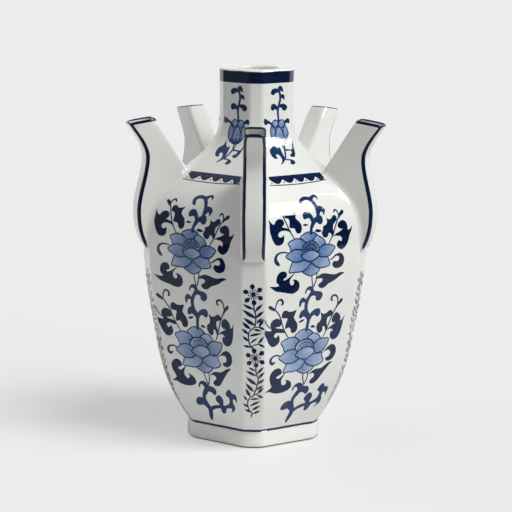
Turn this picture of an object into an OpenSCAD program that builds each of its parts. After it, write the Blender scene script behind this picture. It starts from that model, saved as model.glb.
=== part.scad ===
// Five-sided tulip vase: a pentagonal reservoir with a round mouth and one flower spout on each corner.
// Every section of the body is a pentagon whose corners are cut by a narrow strip, and the spouts stand
// on those strips. The pieces are the clay sections that the potter forms one by one and joins with slip.
// Millimetres, Z up. The origin is the centre of the foot on the table, and the front spout faces -Y.

/* [Foot] */
// Distance from the axis to a corner strip of the foot, at its fullest
foot_r = 51.7; // [45:0.1:60]
// Height of the foot, up to the line where the belly stands on it
foot_h = 13.4; // [10:0.1:20]
// How far the foot draws in at its top and bottom edges
foot_barrel = 1.5; // [0.5:0.1:3]
// Radius of the soft corners of the foot
foot_round = 14; // [6:0.5:18]
// Width of the bare ring that the vase stands on
foot_wall = 7; // [5:0.1:10]
// Width of the ledge inside the foot that carries the floor
floor_ledge = 2.5; // [1.5:0.1:4]
// Thickness of the floor
floor_t = 5; // [3:0.1:7]

/* [Body] */
// Height of the belly, from the foot to the widest level where the shoulder is joined on
belly_h = 134.6; // [115:0.2:155]
// How far the belly's lower edge lies inside the foot's fullest line
belly_inset = 1.3; // [0.5:0.1:3]
// Distance from the axis to a corner strip at the level of the lower belly
low_belly_r = 75.5; // [68:0.1:80]
// Height of the lower belly above the foot
low_belly_h = 61.6; // [50:0.2:75]
// Distance from the axis to a corner strip at the widest level
belly_r = 85.4; // [80:0.1:95]
// Height of the shoulder, from the widest level to the neck
shoulder_h = 83.4; // [74:0.2:94]
// Distance from the axis to a corner strip at the middle of the shoulder
shoulder_r = 69; // [62:0.1:74]
// Height of the middle of the shoulder above the widest level
shoulder_mid_h = 47.5; // [41:0.2:54]
// Thickness of the belly and shoulder wall, measured level
body_wall = 5; // [3.5:0.1:7]

/* [Neck and mouth] */
// Height of the neck, from the shoulder to the mouth rim
neck_h = 40.6; // [32:0.2:50]
// Distance from the axis to a corner strip where the neck stands on the shoulder
neck_foot_r = 30.7; // [28:0.1:36]
// Distance from the axis to a corner strip of the neck at its waist
neck_r = 27.7; // [25:0.1:32]
// Height of the neck's waist above the shoulder
neck_waist_h = 23.6; // [18:0.2:28]
// Thickness of the neck wall, measured level
neck_wall = 5; // [3.5:0.1:7]
// Height of the mouth rim
rim_h = 10; // [7:0.1:14]
// Distance from the axis to a corner strip at the mouth
mouth_r = 28.1; // [26:0.1:33]
// Radius of the rim's outer top edge
rim_round = 2.2; // [1:0.1:3]
// Radius of the round mouth
bore_r = 16; // [12:0.1:19]
// Size of the bevels at both ends of the round mouth
bore_bevel = 1.5; // [0.5:0.1:2.5]

/* [Corner strips] */
// Half width that a corner strip would have on the axis
strip_base = 2.9; // [2.5:0.1:4]
// Half width that a strip gains for each millimetre away from the axis
strip_rate = 0.0714; // [0.05:0.0002:0.09]
// Radius of the soft edge between a strip and a face
edge_round = 5.6; // [4:0.1:7]

/* [Spouts] */
// How far above the widest level a spout begins
spout_low = 0.6; // [0.3:0.1:4]
// How far a spout stands out of the strip at its lower end
spout_step = 1.8; // [1:0.1:3]
// How far its outer edge swells beyond the widest level of the belly
spout_swell = 8.9; // [7:0.1:12]
// Height of the swell above the widest level
spout_swell_h = 28.5; // [22:0.5:34]
// How far the spout's waist stands beyond the widest level of the belly
spout_waist = 2.1; // [0.5:0.1:5]
// Height of the waist above the widest level
spout_waist_h = 69.5; // [62:0.5:76]
// How far the lip reaches beyond the widest level of the belly
spout_reach = 15.3; // [10:0.1:20]
// Height of the middle of the spout's mouth above the widest level
spout_mouth_h = 96.7; // [88:0.1:106]
// Length of the spout's mouth, measured outwards
spout_mouth = 20.5; // [17:0.1:26]
// Outward dip of the mouth, in degrees
mouth_dip = 9; // [0:0.5:14]
// Lean of the spout's inner edge from upright, in degrees
spout_lean = 33.5; // [28:0.5:40]
// Width of the spout at the swell
spout_w = 17.4; // [14:0.1:17.8]
// Width of the spout at its mouth
spout_mouth_w = 16.4; // [13:0.1:17]
// Width of the spout at its lower end
spout_low_w = 16.4; // [13:0.1:17]
// Thickness of the spout's wall
spout_wall = 1.8; // [1.2:0.1:2.4]
// Radius of the spout's long edges
spout_round = 3; // [2.5:0.1:4]
// Height of the soft edge of the spout's lip
lip_round = 0.8; // [0.3:0.1:1.2]
// Ledge of body wall left around the port behind each spout
port_ledge = 1.9; // [0.8:0.1:2.5]
// Height of the port's sill above the spout's lower end
port_sill = 16; // [12:0.5:22]
// Thickness of the slip between a spout and the body
slip = 0.2; // [0.1:0.05:0.4]
// Clearance between the floor and the foot
floor_gap = 0.1; // [0.05:0.05:0.3]

/* [Hidden] */
SPOUTS = ["spout_front", "spout_right_front", "spout_right_back", "spout_left_back", "spout_left_front"];

porcelain = "#eceee9";
cobalt = "#1d2f63";

$fn = 64;
sides = len(SPOUTS);
// Angle through which the outline turns at each edge of a corner strip
edge_turn = 180 / sides;
// Flat steps in one soft edge, and the least radius of such an edge
edge_steps = 2;
edge_min = 0.6;
// Greatest height of one facet of the belly, the shoulder, the neck and the spouts
belly_step = 6.5;
wall_step = 4;
neck_step = 5;
spout_step_h = 3.6;
// Steps in the rounded edge of the rim
rim_steps = 3;
// Overshoot of cutting shapes past the faces that they cut
past = 2;

// Levels of the joints between the sections, and of the mouth
belly_z = foot_h + belly_h;
neck_foot_z = belly_z + shoulder_h;
rim_z = neck_foot_z + neck_h;
total_h = rim_z + rim_h;
// Distance from the axis to a corner strip at the bottom of the belly
belly_foot_r = foot_r - belly_inset;
// Levels of a spout's lower end and mouth, and the reach of its lip
low_z = belly_z + spout_low;
mouth_z = belly_z + spout_mouth_h;
lip_r = belly_r + spout_reach;

// Body profile: height, distance of the strip, and slope outwards for each millimetre of height
BODY = [
    [foot_h, belly_foot_r, 0.7],
    [foot_h + low_belly_h, low_belly_r, 0.165],
    [belly_z, belly_r, 0],
    [belly_z + shoulder_mid_h, shoulder_r, -1.13],
    [neck_foot_z, neck_foot_r, -0.45],
    [neck_foot_z + neck_waist_h, neck_r, 0],
    [total_h, mouth_r, 0.03]
];

// Outer edge of a spout, as height, distance from the axis and slope
SPOUT_EDGE = [
    [low_z, profile(BODY, low_z) + spout_step, 0.6],
    [belly_z + spout_swell_h, belly_r + spout_swell, 0],
    [belly_z + spout_waist_h, belly_r + spout_waist, 0],
    [mouth_z, lip_r, 0.6]
];

// Half width of a spout, as height, half width and slope
SPOUT_WIDTH = [
    [low_z, spout_low_w / 2, 0],
    [belly_z + spout_swell_h, spout_w / 2, 0],
    [mouth_z, spout_mouth_w / 2, 0]
];

// Smooth curve through one pair of knots
function between(a, b, z) =
    let (h = b[0] - a[0], t = (z - a[0]) / h, u = 1 - t)
    u * u * (1 + 2 * t) * a[1] + t * t * (1 + 2 * u) * b[1] + h * t * u * (u * a[2] - t * b[2]);

// Smooth curve through a list of knots
function profile(knots, z, i = 0) =
    i == len(knots) - 2 || z <= knots[i + 1][0]
        ? between(knots[i], knots[i + 1], z)
        : profile(knots, z, i + 1);

// Even heights from one level to another, no further apart than a step
function levels(low, high, step) =
    let (n = ceil((high - low) / step))
    [for (i = [0:n]) low + (high - low) * i / n];

function reversed(list) = [for (i = [len(list) - 1:-1:0]) list[i]];

// Points of one corner of a section: two soft edges with the flat strip between them
function corner(r, half, round) =
    let (tangent = round * tan(edge_turn / 2))
    [for (side = [-1, 1]) for (i = [0:edge_steps])
        let (turn = (side < 0 ? i - edge_steps : i) * edge_turn / edge_steps)
        [r - round + round * cos(turn), side * (half - tangent) + round * sin(turn)]];

// Section of the body at a height: r is the outer strip's distance, and inset how far inside it lies
function section(r, inset, z, round = edge_round) =
    let (half = strip_base + strip_rate * r - inset * tan(edge_turn / 2),
         widest = 0.9 * half / tan(edge_turn / 2),
         points = corner(r - inset, half, max(min(round - inset, widest), edge_min)))
    [for (k = [0:sides - 1]) for (p = points)
        let (a = k * 360 / sides - 90)
        [p[0] * cos(a) - p[1] * sin(a), p[0] * sin(a) + p[1] * cos(a), z]];

function body_section(z, inset) = section(profile(BODY, z), inset, z);

// Inner edge of a spout, straight down from the mouth, and its continuation into the body
function spout_line(z) = lip_r - spout_mouth - (mouth_z - z) * tan(spout_lean);

// Inner side of the spout: the straight edge above, and the slip on the strip below
function spout_back(z) = max(profile(BODY, z) + slip, spout_line(z));

// Height at which a line in from the spout's inner edge meets the strip
function meeting(inset, low = low_z, high = neck_foot_z, n = 24) =
    let (mid = (low + high) / 2)
    n == 0 ? mid
        : spout_line(mid) + inset > profile(BODY, mid)
            ? meeting(inset, low, mid, n - 1)
            : meeting(inset, mid, high, n - 1);

// Ring of a spout at a level, inset by a wall: a rectangle with soft corners that dips towards the lip
function spout_ring(z, inset, back) =
    let (front = profile(SPOUT_EDGE, z) - inset,
         half = profile(SPOUT_WIDTH, min(z, mouth_z)) - inset,
         soft = max(min(spout_round - inset, (front - back) / 3, half - edge_min), edge_min / 2),
         rise = max(0, (z - meeting(0)) / (mouth_z - meeting(0))),
         middle = (front + back) / 2)
    [for (c = [[front, 1, 0], [back, 1, 90], [back, -1, 180], [front, -1, 270]]) for (i = [0:edge_steps])
        let (turn = c[2] + i * 90 / edge_steps,
             in_r = c[0] == front ? front - soft : back + soft,
             r = in_r + soft * cos(turn),
             t = c[1] * (half - soft) + soft * sin(turn))
        [r, t, z - (r - middle) * tan(mouth_dip) * min(rise, 1.2)]];

// Side faces between neighbouring rings of a loft
function walls(count, n, last) =
    [for (i = [0:last]) for (j = [0:n - 1])
        let (a = i * n, b = (i + 1) % count * n, k = (j + 1) % n)
        each [[a + j, b + j, b + k], [a + j, b + k, a + k]]];

// Solid through a list of rings, closed by flat ends
module loft(rings) {
    n = len(rings[0]);
    top = (len(rings) - 1) * n;
    polyhedron(
        [for (r = rings) each r],
        concat(walls(len(rings), n, len(rings) - 2),
               [[for (j = [0:n - 1]) j]],
               [[for (j = [n - 1:-1:0]) top + j]]));
}

// Wall of the body between two levels: up the outside and down the inside
module shell(low, high, wall, step) {
    heights = levels(low, high, step);
    rings = concat(
        [for (z = heights) body_section(z, 0)],
        [for (z = reversed(heights)) body_section(z, wall)]);
    polyhedron([for (r = rings) each r], walls(len(rings), len(rings[0]), len(rings) - 1));
}

// Straight prism on a section
module slab(r, inset, low, high) {
    translate([0, 0, low])
        linear_extrude(high - low)
            polygon([for (p = section(r, inset, 0)) [p[0], p[1]]]);
}

// Foot: a barrel-sided ring with a ledge for the floor
module foot_ring() {
    fullness = [for (z = levels(0, foot_h, 2)) [z, foot_r - foot_barrel * pow(2 * z / foot_h - 1, 4)]];
    color(porcelain)
        difference() {
            loft([for (f = fullness) section(f[1], 0, f[0], foot_round)]);
            slab(foot_r, foot_wall, -past, foot_h + past);
            slab(foot_r, foot_wall - floor_ledge, foot_h - floor_t, foot_h + past);
        }
}

// Floor: a slab dropped on the ledge, flush with the top of the foot
module base_floor() {
    color(porcelain) slab(foot_r, foot_wall - floor_ledge + floor_gap, foot_h - floor_t, foot_h);
}

module belly() {
    color(porcelain) shell(foot_h, belly_z, body_wall, belly_step);
}

// Port that lets a spout's stem reach the water: a slot with round ends, through the wall
module port() {
    half = spout_mouth_w / 2 - spout_wall - port_ledge;
    sill = low_z + port_sill + half;
    head = meeting(spout_wall) - port_ledge - half;
    inner = neck_foot_r;
    outer = belly_r + past;
    translate([inner, 0, 0])
        rotate([90, 0, 90]) {
            translate([-half, sill, 0]) cube([2 * half, head - sill, outer - inner]);
            for (z = [sill, head]) translate([0, z, 0]) cylinder(r = half, h = outer - inner);
        }
}

module shoulder() {
    color(porcelain)
        difference() {
            shell(belly_z, neck_foot_z, body_wall, wall_step);
            for (k = [0:sides - 1]) rotate(k * 360 / sides - 90) port();
        }
}

module neck() {
    color(porcelain) shell(neck_foot_z, rim_z, neck_wall, neck_step);
}

// Mouth rim: the neck's thick top with its painted edge and the round mouth
module mouth_rim() {
    soft = [for (i = [0:rim_steps])
        let (a = i * 90 / rim_steps)
        [total_h - rim_round + rim_round * sin(a), rim_round * (1 - cos(a))]];
    color(cobalt)
        difference() {
            loft(concat([body_section(rim_z, 0)], [for (s = soft) body_section(s[0], s[1])]));
            translate([0, 0, rim_z - past]) cylinder(r = bore_r, h = total_h - rim_z + 2 * past);
            translate([0, 0, rim_z]) bevel();
            translate([0, 0, total_h]) mirror([0, 0, 1]) bevel();
        }
}

// Cone that breaks one edge of the round mouth
module bevel() {
    translate([0, 0, -past])
        cylinder(r1 = bore_r + bore_bevel + past, r2 = bore_r, h = bore_bevel + past);
}

// Spout on one corner: a hollow fin that is open at its mouth and towards the body
module spout(k) {
    heights = levels(low_z, mouth_z - lip_round, spout_step_h);
    hollow = levels(low_z + 2 * spout_wall + spout_step, mouth_z + past, spout_step_h);
    color(porcelain)
        rotate(k * 360 / sides - 90)
            difference() {
                loft(concat(
                    [for (z = heights) spout_ring(z, 0, spout_back(z))],
                    [spout_ring(mouth_z, lip_round / 2, spout_back(mouth_z) + lip_round / 2)]));
                loft([for (z = hollow)
                    spout_ring(z, spout_wall,
                        max(spout_line(z) + spout_wall / cos(spout_lean), profile(BODY, z) - body_wall))]);
            }
}

foot_ring();
base_floor();
belly();
shoulder();
neck();
mouth_rim();
for (k = [0:sides - 1]) spout(k);
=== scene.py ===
import math
import random

import bmesh
import bpy
from mathutils import Matrix, Vector


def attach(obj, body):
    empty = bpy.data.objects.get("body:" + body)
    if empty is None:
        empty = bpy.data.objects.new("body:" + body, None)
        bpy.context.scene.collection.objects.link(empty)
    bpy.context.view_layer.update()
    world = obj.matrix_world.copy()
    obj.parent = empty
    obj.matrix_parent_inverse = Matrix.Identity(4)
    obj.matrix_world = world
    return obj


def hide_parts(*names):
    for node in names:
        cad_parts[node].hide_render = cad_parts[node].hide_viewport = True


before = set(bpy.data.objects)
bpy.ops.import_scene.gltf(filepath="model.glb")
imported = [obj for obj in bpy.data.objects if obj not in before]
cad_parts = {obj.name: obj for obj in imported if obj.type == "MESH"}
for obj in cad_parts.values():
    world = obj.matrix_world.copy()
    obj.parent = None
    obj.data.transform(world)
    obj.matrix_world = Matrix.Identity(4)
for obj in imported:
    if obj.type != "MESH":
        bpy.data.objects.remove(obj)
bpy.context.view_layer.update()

# The foot. A five-sided ring of white porcelain that the vase stands on, pressed with the body
# and trimmed level. Clear glaze covers it down to the bare edge that stood on the kiln shelf,
# which is coloured dark brown, part unglazed clay and part painted contact shadow, and a thin
# blue line is painted round the groove where the body starts.
MM = 0.001
corners = 5
corner_turn = math.radians(36)              # from a corner strip round to the wide face beside it
strip_base, strip_growth = 2.9, 0.0714      # half a strip's width at the axis, and its growth with the radius
foot_height, foot_reach, foot_wall = 13.4, 51.7, 7.0
foot_round, foot_bulge, foot_edge = 14.0, 1.5, 1.3
white_glaze = ((0.775, 0.785, 0.755), (0.83, 0.83, 0.80))       # two whites that drift into each other
# The second colour is the dark brown of the foot's bottom edge: part unglazed clay, part painted contact
# shadow.
speck_brown, bare_clay_and_contact_shade = (0.42, 0.38, 0.31), (0.15, 0.115, 0.075)
full_blue = ((0.0010, 0.005, 0.022), (0.006, 0.018, 0.064))
line_blue = ((0.004, 0.015, 0.060), (0.012, 0.038, 0.125))


def corner_at(k):
    """The direction of a corner strip, counted round from the one at the front."""
    return math.radians(72 * k - 90)


def foot_radius(z):
    return foot_reach - foot_bulge * (2 * z / foot_height - 1) ** 4


def quarter_round(steps):
    """A rounded edge of radius 1, from the side over to the top: how far in and how far down."""
    turns = [math.radians(90 * i / steps) for i in range(steps + 1)]
    return [(1 - math.cos(a), 1 - math.sin(a)) for a in turns]


def node(tree, kind, feeds=None, **settings):
    """One node of a tree, with its settings and what feeds each of its inputs."""
    made = tree.nodes.new(kind)
    for key, value in settings.items():
        setattr(made, key, value)
    for socket, value in (feeds or {}).items():
        if isinstance(value, bpy.types.NodeSocket):
            tree.links.new(value, made.inputs[socket])
        else:
            made.inputs[socket].default_value = value
    return made


def maths(tree, operation, *values):
    return node(tree, "ShaderNodeMath", dict(enumerate(values)), operation=operation).outputs[0]


def add(tree, first, second):
    return maths(tree, "ADD", first, second)


def less(tree, first, second):
    return maths(tree, "SUBTRACT", first, second)


def times(tree, first, second):
    return maths(tree, "MULTIPLY", first, second)


def swing(tree, noise, size):
    """A noise that swings either way by half of size."""
    return times(tree, less(tree, noise, 0.5), size)


def ramp(tree, value, low, high, first=0.0, last=1.0):
    """From first to last while the value goes from low to high."""
    feeds = {"Value": value, "From Min": low, "From Max": high, "To Min": first, "To Max": last}
    return node(tree, "ShaderNodeMapRange", feeds).outputs[0]


def clouds(tree, place, scale, detail):
    return node(tree, "ShaderNodeTexNoise", {"Vector": place, "Scale": scale, "Detail": detail}).outputs[0]


def between(tree, share, first, second):
    return node(tree, "ShaderNodeMix", {0: share, 2: first, 3: second}).outputs[0]


def tint(tree, share, first, second):
    """A colour between two others."""
    first, second = [(*c, 1) if isinstance(c, tuple) else c for c in (first, second)]
    return node(tree, "ShaderNodeMix", {0: share, 6: first, 7: second}, data_type="RGBA").outputs[2]


def vectors(tree, operation, *values):
    feeds = dict(enumerate(values))
    if operation == "SCALE":
        feeds = {0: values[0], "Scale": values[1]}
    return node(tree, "ShaderNodeVectorMath", feeds, operation=operation).outputs[0]


def axes(tree, place):
    return node(tree, "ShaderNodeSeparateXYZ", {0: place}).outputs


def vector(tree, parts):
    """A vector from the parts given for its axes 0, 1 and 2."""
    return node(tree, "ShaderNodeCombineXYZ", parts).outputs[0]


def new_tree(name, *inputs):
    """An empty tree with named inputs, its input node and its output node."""
    tree = bpy.data.node_groups.new(name, "GeometryNodeTree")
    for label, kind in (("Geometry", "Geometry"),) + inputs:
        tree.interface.new_socket(label, in_out="INPUT", socket_type="NodeSocket" + kind)
    tree.interface.new_socket("Geometry", in_out="OUTPUT", socket_type="NodeSocketGeometry")
    return tree, tree.nodes.new("NodeGroupInput").outputs, tree.nodes.new("NodeGroupOutput")


def grown(name, mesh, tree, settings):
    """The plain mesh object that a tree makes from a mesh."""
    piece = bpy.data.objects.new(name, mesh)
    bpy.context.scene.collection.objects.link(piece)
    stage = piece.modifiers.new(tree.name, "NODES")
    stage.node_group = tree
    for item in tree.interface.items_tree:
        if item.in_out == "INPUT" and item.name in settings:
            stage[item.identifier] = settings[item.name]
    ready = bpy.context.evaluated_depsgraph_get()
    whole = piece.evaluated_get(ready)
    made = bpy.data.meshes.new_from_object(whole, preserve_all_data_layers=True, depsgraph=ready)
    piece.modifiers.clear()
    piece.data = made
    made.name = name
    return piece


def upright_lines(soft):
    """The upright lines round a wall with soft edges. Each has its growth with the radius, its start
    and its outward direction."""
    lean = soft * math.tan(corner_turn / 2)
    corner = []
    for side in (-1, 1):
        growth = (1, side * strip_growth)
        one = [(growth, (0, side * (strip_base - 0.5 - lean)), (1, 0))]
        for i in range(7):
            a = corner_turn * i / 6
            start = (soft * (math.cos(a) - 1), side * (strip_base - lean + soft * math.sin(a)))
            one.append((growth, start, (math.cos(a), side * math.sin(a))))
        corner += one[::-1] if side < 0 else [((1, 0), (0, 0), (1, 0))] + one
    around = []
    for k in range(corners):
        spin, after = Matrix.Rotation(corner_at(k), 2), Matrix.Rotation(corner_at(k + 1), 2)
        lines = [[spin @ Vector(v) for v in line] for line in corner]
        last, first = lines[-1], [after @ Vector(v) for v in corner[0]]
        for share in (0.02, 0.26, 0.5, 0.74, 0.98):             # across the wide face to the next corner
            lines.append([a.lerp(b, share) for a, b in zip(last, first)])
        around += lines
    mesh = bpy.data.meshes.new("upright_lines")
    mesh.from_pydata([(growth.x, growth.y, 0) for growth, _, _ in around], [], [])
    for label, pick, scale in (("start", 1, MM), ("outward", 2, 1)):
        layer = mesh.attributes.new(label, "FLOAT_VECTOR", "POINT")
        for i, line in enumerate(around):
            layer.data[i].vector = (line[pick].x * scale, line[pick].y * scale, 0)
    return bpy.data.objects.new("upright_lines", mesh)


def pressed_wall():
    """A tree that carries a wall line, of radius, depth into the wall and height, round the corners."""
    tree, given, out = new_tree("pressed_wall", ("Upright lines", "Object"), ("Finish", "Material"))

    def count(mesh):
        return node(tree, "GeometryNodeAttributeDomainSize", {0: mesh}).outputs["Point Count"]

    def read(mesh, at, value, kind="FLOAT_VECTOR"):
        feeds = {"Geometry": mesh, "Value": value, "Index": at}
        return node(tree, "GeometryNodeSampleIndex", feeds, data_type=kind).outputs[0]

    def named(label, kind="FLOAT_VECTOR"):
        return node(tree, "GeometryNodeInputNamedAttribute", {"Name": label}, data_type=kind).outputs[0]

    lines = node(tree, "GeometryNodeObjectInfo", {"Object": given["Upright lines"]}).outputs["Geometry"]
    around, rows = count(lines), count(given["Geometry"])
    wide, high = add(tree, around, 1.0), add(tree, rows, 1.0)
    sheet = node(tree, "GeometryNodeMeshGrid", {"Vertices X": wide, "Vertices Y": high}).outputs[0]
    index = node(tree, "GeometryNodeInputIndex").outputs[0]
    column = maths(tree, "FLOOR", maths(tree, "DIVIDE", add(tree, index, 0.5), high))
    column = maths(tree, "MODULO", column, around)
    row = maths(tree, "MODULO", maths(tree, "FLOORED_MODULO", index, high), rows)
    place = node(tree, "GeometryNodeInputPosition").outputs[0]
    growth = read(lines, column, place)
    start, outward = read(lines, column, named("start")), read(lines, column, named("outward"))
    line = axes(tree, read(given["Geometry"], row, place))
    bored = read(given["Geometry"], row, named("bored", "FLOAT"), "FLOAT")
    sided = vectors(tree, "ADD", vectors(tree, "SCALE", growth, line[0]), start)
    sided = vectors(tree, "SUBTRACT", sided, vectors(tree, "SCALE", outward, line[1]))
    turned = vectors(tree, "SCALE", vectors(tree, "NORMALIZE", sided), line[0])
    shape = node(tree, "ShaderNodeMix", {0: bored, 4: sided, 5: turned}, data_type="VECTOR").outputs[1]
    raised = vectors(tree, "ADD", shape, vector(tree, {2: line[2]}))
    wall = node(tree, "GeometryNodeSetPosition", {"Geometry": sheet, "Position": raised}).outputs[0]
    wall = node(tree, "GeometryNodeMergeByDistance", {"Geometry": wall, "Distance": 2e-6}).outputs[0]
    wall = node(tree, "GeometryNodeSetShadeSmooth", {"Geometry": wall}).outputs[0]
    wall = node(tree, "GeometryNodeRealizeInstances", {0: wall}).outputs[0]
    wall = node(tree, "GeometryNodeSetMaterial", {"Geometry": wall, "Material": given["Finish"]}).outputs[0]
    tree.links.new(wall, out.inputs[0])
    return tree


def walled(name, rows, lines, finish):
    """A section of the vase. Its rows are radius, depth in the wall, height, and 1 where bored round."""
    mesh = bpy.data.meshes.new(name + "_line")
    mesh.from_pydata([(r * MM, d * MM, z * MM) for r, d, z, _ in rows], [], [])
    bored = mesh.attributes.new("bored", "FLOAT", "POINT")
    bored.data.foreach_set("value", [float(row[3]) for row in rows])
    return grown("glazed_" + name, mesh, wall_tree, {"Upright lines": lines, "Finish": finish})


def new_finish(name):
    finish = bpy.data.materials.new(name)
    finish.use_nodes = True
    return finish, finish.node_tree, finish.node_tree.nodes["Principled BSDF"]


def gloss(tree, shader, place, bare_edge_and_shade=None, ripple=0.0):
    """The shine of the glaze: a little uneven over low swells, and gone on the unglazed edge."""
    rough = ramp(tree, clouds(tree, place, 22.0, 4.0), 0.0, 1.0, 0.025, 0.05)
    if bare_edge_and_shade is not None:
        rough = between(tree, bare_edge_and_shade, rough, 0.85)
    relief = clouds(tree, place, 34.0, 1.0)
    if ripple:
        relief = add(tree, relief, times(tree, clouds(tree, place, 420.0, 1.0), ripple))
    bump = node(tree, "ShaderNodeBump", {"Height": relief, "Strength": 1.0, "Distance": 0.14 * MM}).outputs[0]
    tree.links.new(rough, shader.inputs["Roughness"])
    tree.links.new(bump, shader.inputs["Normal"])


def glaze(name, bands=(), bare_and_shade_below=0.0, lined=None, blues=full_blue):
    """Clear glaze over white porcelain. bands are painted blue between two heights, below a given
    height the edge turns a dark brown that is part unglazed clay and part painted contact shadow,
    and lined adds a mask of painted lines to the tree."""
    finish, tree, shader = new_finish(name)
    place = node(tree, "ShaderNodeTexCoord").outputs["Object"]
    colour = tint(tree, clouds(tree, place, 22.0, 4.0), *white_glaze)
    speck = node(tree, "ShaderNodeTexVoronoi", {"Vector": place, "Scale": 130.0}).outputs["Distance"]
    colour = tint(tree, ramp(tree, speck, 0.05, 0.02, 0.0, 0.22), colour, speck_brown)
    height = axes(tree, place)[2]
    level = times(tree, height, 1 / MM)
    hand = clouds(tree, place, 90.0, 3.0)
    masks = [lined(tree, height, hand)] if lined else []
    sideways = vectors(tree, "MULTIPLY", place, (1, 1, 0))
    reach = node(tree, "ShaderNodeVectorMath", {0: sideways}, operation="LENGTH").outputs["Value"]
    outside = ramp(tree, reach, 18.5 * MM, 19.5 * MM)           # no band is painted in the mouth
    for low, high, sway in bands:
        drawn = add(tree, level, swing(tree, hand, sway))
        above, below = ramp(tree, drawn, low - 0.16, low + 0.16), ramp(tree, drawn, high + 0.16, high - 0.16)
        masks.append(times(tree, times(tree, above, below), outside))
    for painted in masks:
        colour = tint(tree, painted, colour, tint(tree, hand, *blues))
    bare_edge_and_shade = None
    if bare_and_shade_below:
        # Below that height the edge turns a deep brown: part unglazed clay, part a painted contact shadow
        # where the foot meets the floor.
        bare_edge_and_shade = ramp(tree, add(tree, level, times(tree, hand, 0.5)), bare_and_shade_below + 0.3, bare_and_shade_below - 0.1)
        colour = tint(tree, bare_edge_and_shade, colour, bare_clay_and_contact_shade)
    tree.links.new(colour, shader.inputs["Base Color"])
    gloss(tree, shader, place, bare_edge_and_shade, ripple=0.03)
    return finish


wall_tree = pressed_wall()
foot_edges = [(foot_edge * deep, foot_edge * low) for deep, low in quarter_round(6)]
rows = [(foot_radius(z), deep, z, 0) for deep, z in foot_edges[::-1]]
rows += [(foot_radius(z), 0, z, 0) for z in (2.5, 4, 5.5, 7, 8.5, 10, 11, 12, 12.7, 13.1, 13.35, foot_height)]
rows += [(foot_radius(foot_height), foot_wall, z, 0) for z in (foot_height, 9, 5, foot_edge)]
rows += [(foot_radius(foot_height), foot_wall - deep, z, 0) for deep, z in foot_edges[1:]]
# Up to 1.5 mm from the floor the foot's edge is dark brown: unglazed clay with a painted contact shadow.
foot_glaze = glaze("foot_glaze", bands=((12.7, 16.0, 0.5),), bare_and_shade_below=1.5, blues=line_blue)
foot = walled("foot", rows, upright_lines(foot_round), foot_glaze)
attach(foot, "root")
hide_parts("foot_ring")

# The floor of the vase. A flat slab of the same porcelain inside the foot, glazed on both sides,
# which closes the body and holds the water.
floor_glaze = glaze("floor_glaze")
vase_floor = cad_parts["base_floor"]
vase_floor.data.materials.clear()
vase_floor.data.materials.append(floor_glaze)

# The belly. The lower body, pressed in a five-sided mould from a sheet of porcelain 5 mm thick,
# with wide flat faces between narrow corner strips, white under a clear glossy glaze.
belly_top, body_wall = 148.0, 5.0
edge_round = 5.6                            # the soft edge between a strip and a wide face
body_curve = (                              # height, distance from the axis to a strip, and slope
    (foot_height, 50.4, 0.7),
    (75, 75.5, 0.165),
    (belly_top, 85.4, 0),
    (195.5, 69, -1.13),
    (231.4, 30.7, -0.45),
    (255, 27.7, 0),
    (282, 28.1, 0.03),
)


def along(curve, z):
    """The value at z of a smooth curve through points of height, value and slope."""
    i = max(0, min(len(curve) - 2, sum(z > point[0] for point in curve) - 1))
    (z0, a, sa), (z1, b, sb) = curve[i], curve[i + 1]
    h = z1 - z0
    t = (z - z0) / h
    u = 1 - t
    return u * u * (1 + 2 * t) * a + t * t * (1 + 2 * u) * b + h * t * u * (u * sa - t * sb)


def body_rows(low, high, step):
    """Wall line rows of a body section: up the outside and down the inside."""
    count = round((high - low) / step)
    steps = [low + (high - low) * i / count for i in range(1, count)]
    outside = [low, low + 0.05] + steps + [high - 0.05, high]
    inside = [high + (low - high) * i / (count // 2) for i in range(count // 2 + 1)]
    skins = ((outside, 0), (inside, body_wall))
    return [(along(body_curve, z), depth, z, 0) for levels, depth in skins for z in levels]


lines_round = upright_lines(edge_round)
belly_glaze = glaze("belly_glaze", bands=((10.0, 14.6, 0.5),), blues=line_blue)
belly = walled("belly", body_rows(foot_height, belly_top, 2.4), lines_round, belly_glaze)
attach(belly, "root")
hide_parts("belly")

# The shoulder. The upper body, drawn in from the belly to the foot of the neck, pressed with the
# belly in one mould and glazed with it.
shoulder_top = 231.4
shoulder = walled("shoulder", body_rows(belly_top, shoulder_top, 1.6), lines_round, glaze("shoulder_glaze"))
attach(shoulder, "root")
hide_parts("shoulder")

# The neck. A narrow five-sided tube that carries on from the shoulder, pressed with it from the
# same porcelain under the same glaze.
neck_top = 272.0
neck = walled("neck", body_rows(shoulder_top, neck_top, 1.6), lines_round, glaze("neck_glaze"))
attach(neck, "root")
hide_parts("neck")

# The mouth rim. A thick five-sided collar with a round mouth cut through its top, its edges softened
# with a sponge. A wide band of cobalt is brushed round it under the glaze, and the top is left white.
rim_top, mouth_radius = 282.0, 16.0
rim_edge, lip_edge = 1.6, 2.2
rim_reach = along(body_curve, 281)
rows = [(along(body_curve, z), 0, z, 0) for z in (neck_top, 272.05, 274, 276, 278, 279.6, 280.4)]
rows += [(rim_reach, rim_edge * deep, rim_top - rim_edge * low, 0) for deep, low in quarter_round(8)[1:]]
rows += [(rim_reach, depth, rim_top, 0) for depth in (2.2, 4.0)]
rows.append((mouth_radius + lip_edge + 0.6, 0, rim_top, 1))
rows += [(mouth_radius + lip_edge * low, 0, rim_top - lip_edge * deep, 1) for deep, low in quarter_round(8)]
rows += [(mouth_radius, 0, z, 1) for z in (278, 275, 273.2, 272.6)]
rows += [(mouth_radius + 0.5, 0, 272.05, 1), (mouth_radius + 1.0, 0, neck_top, 1)]
rim = walled("rim", rows, lines_round, glaze("rim_glaze", bands=((268.0, 280.7, 2.0),)))
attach(rim, "root")
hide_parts("mouth_rim")

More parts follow.
